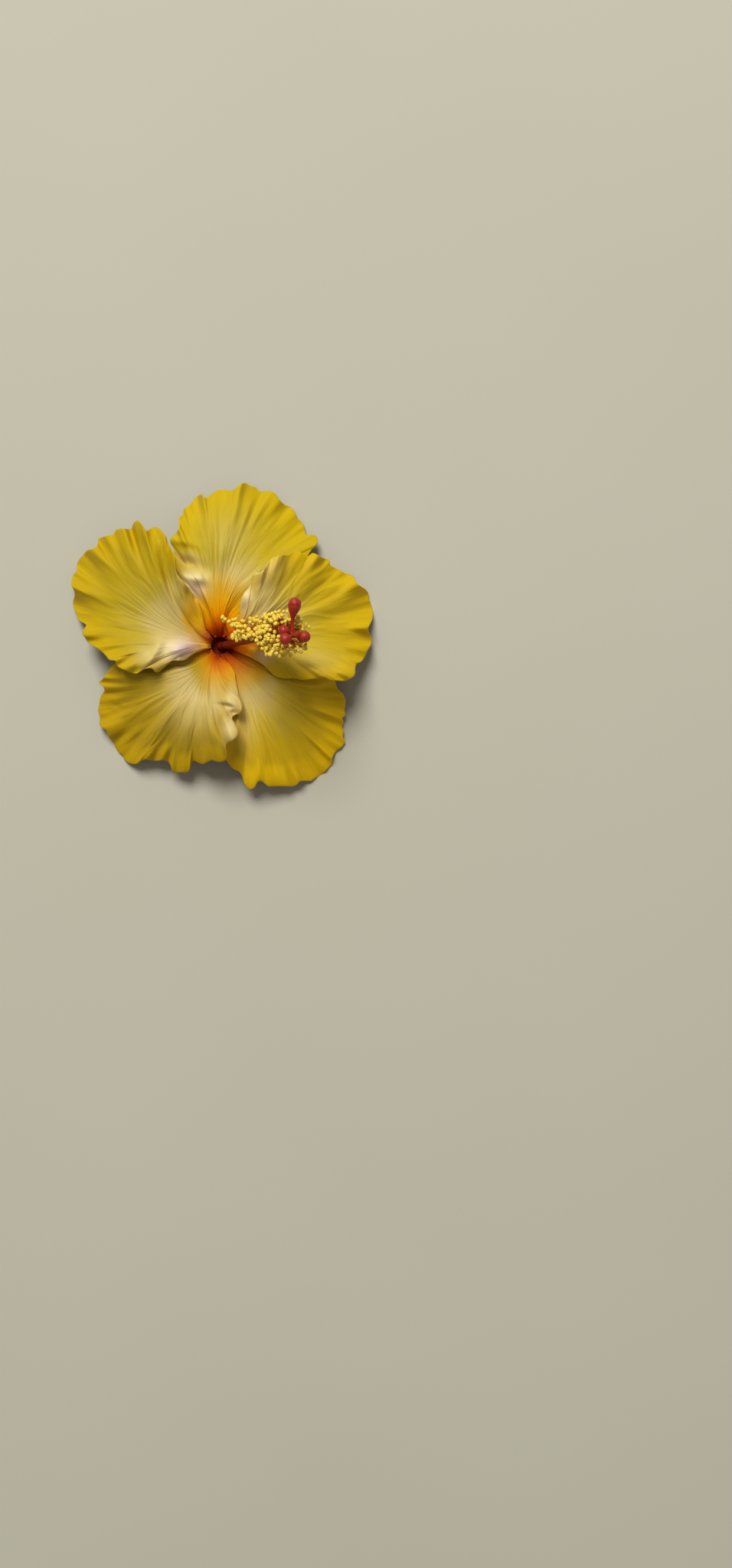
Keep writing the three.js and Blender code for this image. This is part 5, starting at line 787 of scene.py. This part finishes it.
# ------------------------------------------------------------------ stamens
def ball(subdivisions=2):
    """Icosphere verts and triangles."""
    p = (1 + 5**0.5) / 2
    v = [(-1, p, 0), (1, p, 0), (-1, -p, 0), (1, -p, 0), (0, -1, p), (0, 1, p), (0, -1, -p), (0, 1, -p), (p, 0, -1), (p, 0, 1), (-p, 0, -1), (-p, 0, 1)]
    f = [(0, 11, 5), (0, 5, 1), (0, 1, 7), (0, 7, 10), (0, 10, 11), (1, 5, 9), (5, 11, 4), (11, 10, 2), (10, 7, 6), (7, 1, 8), (3, 9, 4), (3, 4, 2), (3, 2, 6), (3, 6, 8), (3, 8, 9), (4, 9, 5), (2, 4, 11), (6, 2, 10), (8, 6, 7), (9, 8, 1)]
    v = [np.array(q) / np.linalg.norm(q) for q in v]
    for _ in range(subdivisions):
        mids, g = {}, []

        def mid(a, b):
            k = (min(a, b), max(a, b))
            if k not in mids:
                q = v[a] + v[b]
                v.append(q / np.linalg.norm(q))
                mids[k] = len(v) - 1
            return mids[k]
        for a, b, c in f:
            ab, bc, ca = mid(a, b), mid(b, c), mid(c, a)
            g += [(a, ab, ca), (b, bc, ab), (c, ca, bc), (ab, bc, ca)]
        f = g
    return np.array(v), f


BALL2, BALL3 = ball(2), ball(3)
filament_mat = plain_material("filament_skin", srgb(178, 62, 14), srgb(222, 120, 40), 400.0, 0.45, 0.00003, sss=0.3)
anther_mat = plain_material("anther_skin", (0.78, 0.50, 0.025, 1), (0.88, 0.72, 0.13, 1), 900.0, 0.75, 0.00010, sss=0.25, sss_radius=(1.0, 0.7, 0.2), spec=0.25, detail_scale=5200.0)


def turn_to(d):
    d = d / np.linalg.norm(d)
    a = np.array([0.0, 0.0, 1.0]) if abs(d[2]) < 0.9 else np.array([1.0, 0.0, 0.0])
    x = np.cross(a, d)
    x /= np.linalg.norm(x)
    return x, np.cross(d, x), d


def build_tuft(i, tuft):
    rng = np.random.RandomState(900 + i)
    root = np.array(tuft["root"])
    tt = np.linspace(0, 1, 200)
    cp = column_point(tt * COLUMN_TOP)
    parts = []
    heads = [np.array(a, float) for a in tuft["anthers"]]
    # every bunch is denser than its main anthers: more stand between them
    for a, b in list(zip(heads, heads[1:] + heads[:1])):
        for _ in range(EXTRA_ANTHERS):
            p = a + (b - a) * rng.uniform(0.2, 0.6) + rng.uniform(-1.25, 1.25, 3)
            if min(np.linalg.norm(p - q) for q in heads) > 0.95:
                heads.append(p)
    for a in heads:
        # the filament leaves the column a little away from its neighbours
        spread = root + rng.uniform(-0.35, 0.35, 3)
        k = np.argmin(np.linalg.norm(cp - spread, axis=1))
        out = spread - cp[k]
        out /= np.linalg.norm(out)
        start = cp[k] + out * (column_radius(tt[k] * COLUMN_TOP) - 0.15)
        L = np.linalg.norm(a - start)
        ctrl = start + out * L * 0.45 + rng.uniform(-0.05, 0.05, 3) * L
        w = np.linspace(0, 1, 9)[:, None]
        line = (1 - w) ** 2 * start + 2 * w * (1 - w) * ctrl + w**2 * a
        rad = 0.15 - 0.045 * w[:, 0]
        v, f = loft(line, rad, 7, up=(0.13, 0.21, 0.97))
        parts.append((v, f, 0))
        # anther: a two-lobed grain across the filament's end
        V, F = BALL2
        x, y, d = turn_to(a - ctrl)
        size = ANTHER_R * rng.uniform(0.86, 1.08)
        sp = rng.uniform(0, 2 * math.pi)
        c, s = math.cos(sp), math.sin(sp)
        lob = V.copy()
        groove = 1 - 0.24 * np.exp(-(lob[:, 0] / 0.22) ** 2) * (lob[:, 2] > -0.5)
        lob = lob * groove[:, None] * (1 + 0.05 * np.sin(9 * lob[:, 1:2] + 7 * lob[:, 2:3] + i))
        lob[:, 0] *= 1.12
        lob[:, 1] *= 1.0
        lob[:, 2] *= 0.88
        lob = np.stack([lob[:, 0] * c - lob[:, 1] * s, lob[:, 0] * s + lob[:, 1] * c, lob[:, 2]], -1)
        pts = a + size * (lob[:, :1] * x + lob[:, 1:2] * y + lob[:, 2:3] * d)
        parts.append((pts, F, 1))
    V, F, M = join(parts)
    name = "stamens_%02d" % (i + 1)
    piece(make_mesh(name, V, F, [filament_mat, anther_mat], face_material=M), name)


for i, tuft in enumerate(TUFTS):
    build_tuft(i, tuft)


# ------------------------------------------------------------------ style and stigmas
stigma_mat = plain_material("stigma_skin", (0.26, 0.010, 0.004, 1), (0.42, 0.026, 0.010, 1), 900.0, 0.42, 0.00006, sheen=0.0, sss=0.10, sss_radius=(1.0, 0.2, 0.12), detail_scale=4200.0)
V, F = BALL3
start = column_point(np.array(COLUMN_TOP - 0.01))
w = np.linspace(0, 1, 14)[:, None]
line = start + (HUB - start) * w
v1, f1 = loft(line, 1.02 - 0.12 * np.sin(w[:, 0] * math.pi), 24)
bumpy = 1 + 0.05 * np.sin(6 * V[:, :1] + 2) * np.cos(5 * V[:, 1:2])
v2 = HUB + V * HUB_R * 0.92 * bumpy
Vv, Ff, Mm = join([(v1, f1, 0), (v2, F, 0)])
piece(make_mesh("style", Vv, Ff, [stigma_mat]), "style")

for i, (name, head, radius) in enumerate(STIGMAS):
    head = np.array(head)
    d = head - HUB
    L = np.linalg.norm(d)
    d /= L
    long = L > 8
    # profile: stalk, neck, pear-shaped head
    n = 74
    l = np.linspace(0.55, L + radius, n)
    q = np.clip((l - L) / radius, -1, 1)
    headr = radius * np.sqrt(np.clip(1 - q**2, 0, 1))
    if long:
        neck0, neck1 = L - radius * 2.7, L - radius * 0.25
        stalk = 0.62 + 0.30 * np.exp(-(l / 2.2) ** 2)
        blend = sst(l, neck0, neck1)
        rr = np.where(l < L, stalk * (1 - blend) + radius * blend, headr)
    else:
        neck0, neck1 = L - radius * 1.5, L - radius * 0.1
        stalk = 0.66 + 0.22 * np.exp(-(l / 1.6) ** 2)
        blend = sst(l, neck0, neck1)
        rr = np.where(l < L, stalk * (1 - blend) + radius * blend, headr)
    rr = np.maximum(rr, 0.03)
    bow = 0.35 if long else 0.12
    x, y, dd = turn_to(d)
    c = HUB + d * l[:, None] + x * (bow * np.sin(np.clip(l / L, 0, 1) * math.pi))[:, None]
    sides = 40
    nz = lattice_noise(40 + i, 53, 61)
    th = np.arange(sides) * 2 * math.pi / sides
    pap = nz(th[None] / (2 * math.pi) * 53, l[:, None] / (L + radius) * 60)
    rel = 1 + 0.030 * pap * sst(l, neck0, L)[:, None] + 0.01 * pap
    v, f = loft(c, rr[:, None] * rel, sides, up=tuple(x))
    piece(make_mesh(name, v, f, [stigma_mat]), name)


# ------------------------------------------------------------------ calyx and bracts
def leaf_material(name, dark, light, seed, heart=False):
    m, nt, bsdf = new_material(name)
    N = Nodes(nt)
    fan, along = N.attribute("fan"), N.attribute("along")
    rib = N.noise(N.combine(N.math("MULTIPLY", fan, 30.0), N.math("MULTIPLY", along, 2.0), seed), 1.0, 3.0, 0.6)
    mott = N.noise(N.coords(), 420.0, 4.0, 0.6)
    f = N.math("ADD", N.math("MULTIPLY", rib, 0.6), N.math("MULTIPLY", mott, 0.4))
    color = N.mix(N.step(f, 0.35, 0.65), dark, light)
    color = N.mix(N.step(along, 0.80, 1.0), color, srgb(150, 150, 70))
    if heart:                                   # the floor of the cup shares the red of the throat
        color = N.mix(N.attribute("heart"), color, (0.16, 0.010, 0.001, 1))
    N.link(color, bsdf.inputs["Base Color"])
    N.link(N.math("MULTIPLY_ADD", mott, 0.2, 0.5), bsdf.inputs["Roughness"])
    N.link(N.bump(N.math("ADD", rib, N.math("MULTIPLY", mott, 0.4)), 0.00030, 0.9), bsdf.inputs["Normal"])
    bsdf.inputs["Subsurface Weight"].default_value = 0.12
    bsdf.inputs["Subsurface Radius"].default_value = (0.5, 1.0, 0.3)
    bsdf.inputs["Subsurface Scale"].default_value = 0.001
    bsdf.inputs["Sheen Weight"].default_value = 0.0 if heart else 0.15
    bsdf.inputs["Specular IOR Level"].default_value = 0.15 if heart else 0.40
    return m


calyx_mat = leaf_material("calyx_skin", srgb(78, 96, 34), srgb(126, 142, 66), 2.0, heart=True)
bract_mat = leaf_material("bract_skin", srgb(66, 88, 30), srgb(112, 132, 58), 5.0)



def cup(r):
    """Upper face of the calyx: a well round the column's foot, then close under the petals."""
    gap = CALYX_GAP[0] + (CALYX_GAP[1] - CALYX_GAP[0]) * sst(r, 4.5, 9.0)
    return WELL_Z + (profile(r) - gap - WELL_Z) * np.clip((r - WELL_R) / 0.55, 0, 1)


rings, n = 44, 240
a = np.arange(n) * 2 * math.pi / n + 0.22
f5 = np.abs(((5 * np.arange(n) / n) % 1) - 0.5) * 2
edge_r = CALYX_CUP_R - 1.2 + CALYX_LOBE * f5**1.4
ui = np.concatenate([np.linspace(0, 0.965, rings - 3), [0.985, 0.996, 1.0]])
rr = ui[:, None] * edge_r[None]
zt = cup(rr)
X, Y = rr * np.cos(a)[None], rr * np.sin(a)[None]
below = np.where(rr < FOOT_R, 0.0, np.maximum(0.0, zt - CALYX_T * 1.35))
ribs = 0.16 * np.cos(25 * (a[None] - 0.22)) * sst(rr, 4.0, 7.0)
below = np.where(below > 0.02, np.maximum(0.0, below - ribs - 0.05), below)
close = np.array([0.0] * (rings - 3) + [0.35, 0.75, 1.0])[:, None]
mid = (zt + below) / 2
top = zt * (1 - close) + mid * close
bot = below * (1 - close) + mid * close
V = np.concatenate([np.stack([X, Y, top], -1)[1:].reshape(-1, 3), np.stack([X, Y, bot], -1)[1:-1].reshape(-1, 3), [[0, 0, top[0, 0]], [0, 0, 0]]])
R1 = rings - 1
faces = []
tb = R1 * n
for i in range(R1 - 1):
    for k in range(n):
        m = (k + 1) % n
        faces.append((i * n + k, (i + 1) * n + k, (i + 1) * n + m, i * n + m))
for i in range(R1 - 1):
    for k in range(n):
        m = (k + 1) % n
        o, p = tb + i * n, (tb + (i + 1) * n if i + 1 < R1 - 1 else (R1 - 1) * n)
        faces.append((o + k, o + m, p + m, p + k))
ct, cb = len(V) - 2, len(V) - 1
for k in range(n):
    m = (k + 1) % n
    faces.append((ct, k, m))
    faces.append((cb, tb + m, tb + k))
ob = make_mesh("calyx", V, faces, [calyx_mat])
fan = np.concatenate([np.tile(np.arange(n) / n * 6, R1), np.tile(np.arange(n) / n * 6, R1 - 1), [0, 0]])
alo = np.concatenate([np.repeat(ui[1:], n), np.repeat(ui[1:-1], n), [0, 0]])
set_attribute(ob, "fan", fan)
set_attribute(ob, "along", alo)
red = 1 - sst(rr, 6.5, 8.5)
set_attribute(ob, "heart", np.concatenate([red[1:].ravel(), np.zeros((R1 - 1) * n), [1, 0]]))
piece(ob, "calyx")

BRACTS, BRACT_LENGTH, BRACT_WIDTH, BRACT_T = 7, 12.0, 2.4, 0.7
for i in range(BRACTS):
    a = 2 * math.pi * i / BRACTS + 0.35
    rows, cols = 60, 16
    u = np.concatenate([np.linspace(0, 0.97, rows - 2), [0.985, 0.995, 1.0]])[:, None] * np.ones((1, cols + 1))
    c = np.linspace(-1, 1, cols + 1)[None] * np.ones((rows + 1, 1))
    out = FOOT_R + 0.15 + BRACT_LENGTH * u
    wd = BRACT_WIDTH * np.sin(math.pi * (0.16 + 0.84 * u) ** 0.85) ** 0.8 * 0.5 + 0.05
    side = np.sin(c * math.pi / 2) * wd
    under = cup(out) - CALYX_T * 1.35 - 1.3
    zc = np.minimum(np.maximum(1.1, under * 0.42), 3.6) + 0.22 * (side / wd) ** 2
    ridge = 0.12 * np.exp(-(side / 0.3) ** 2)
    tk = BRACT_T * (1 - 0.35 * u) * np.sqrt(np.clip(1 - np.abs(c) ** 3, 0.0, 1)) * np.sqrt(np.clip(1 - u**12, 0.0, 1))
    zm = zc - BRACT_T * (1 - 0.35 * u) * 0.5
    X = out * math.cos(a) - side * math.sin(a)
    Y = out * math.sin(a) + side * math.cos(a)
    top = np.stack([X, Y, zm + tk * 0.5], -1)
    bot = np.stack([X, Y, np.maximum(0.02, zm - tk * 0.5 - ridge * tk)], -1)
    V = np.concatenate([top.reshape(-1, 3), bot.reshape(-1, 3)])
    half = (rows + 1) * (cols + 1)
    w_ = cols + 1
    faces = grid_quads(rows, cols, 0, False).tolist() + grid_quads(rows, cols, half, True).tolist()
    for j in range(cols):
        faces.append((j, j + 1, half + j + 1, half + j))
        e = rows * w_ + j
        faces.append((e + 1, e, half + e, half + e + 1))
    for r_ in range(rows):
        p, q = r_ * w_, (r_ + 1) * w_
        faces.append((q, p, half + p, half + q))
        faces.append((p + cols, q + cols, half + q + cols, half + p + cols))
    name = "bract_%d" % (i + 1)
    ob = make_mesh(name, V, faces, [bract_mat])
    set_attribute(ob, "fan", np.tile(c.ravel() * 0.5 + i, 2))
    set_attribute(ob, "along", np.tile(u.ravel(), 2))
    piece(ob, name)


# ------------------------------------------------------------------ stage, light, camera
def floor():
    me = bpy.data.meshes.new("floor")
    s = 3.0
    me.from_pydata([(-s, -s, 0), (s, -s, 0), (s, s, 0), (-s, s, 0)], [], [(0, 1, 2, 3)])
    m, nt, bsdf = new_material("floor_skin")
    N = Nodes(nt)
    n1 = N.noise(N.coords(), 6.0, 2.0, 0.5)
    N.link(N.mix(n1, srgb(*FLOOR_A), srgb(*FLOOR_B)), bsdf.inputs["Base Color"])
    bsdf.inputs["Roughness"].default_value = 0.85
    bsdf.inputs["Specular IOR Level"].default_value = 0.1
    me.materials.append(m)
    ob = bpy.data.objects.new("floor", me)
    bpy.context.scene.collection.objects.link(ob)


FLOOR_A, FLOOR_B = (188, 186, 174), (184, 180, 166)
floor()


def area(name, direction, distance, size, power, color):
    d = np.array(direction, float)
    d /= np.linalg.norm(d)
    L = bpy.data.lights.new(name, "AREA")
    L.shape = "DISK"
    L.size = size
    L.energy = power
    L.color = color
    ob = bpy.data.objects.new(name, L)
    p = d * distance
    ob.location = (p[0], p[1], p[2])
    from mathutils import Vector
    ob.rotation_euler = Vector((-d[0], -d[1], -d[2])).to_track_quat("-Z", "Y").to_euler()
    bpy.context.scene.collection.objects.link(ob)
    return ob


area("key", (-0.13, 0.53, 0.84), 2.4, 1.2, 59.5, (1.0, 0.99, 0.92))
world = bpy.data.worlds.new("studio")
bpy.context.scene.world = world
world.use_nodes = True
bg = world.node_tree.nodes["Background"]
bg.inputs[0].default_value = (1.0, 0.935, 0.84, 1.0)
bg.inputs[1].default_value = 0.25
bpy.context.scene.view_settings.view_transform = "Standard"

cam = bpy.data.cameras.new("camera")
cam.sensor_fit = "AUTO"
cam.sensor_width = 36.0
cam.lens = 31.056
cam.clip_start = 0.01
cam.clip_end = 20.0
camo = bpy.data.objects.new("camera", cam)
camo.location = ((APEX[0] + THROAT[0]) * MM, (APEX[1] + THROAT[1]) * MM, APEX[2] * MM)
camo.rotation_euler = (0.0, 0.0, 0.0)
bpy.context.scene.collection.objects.link(camo)
bpy.context.scene.camera = camo
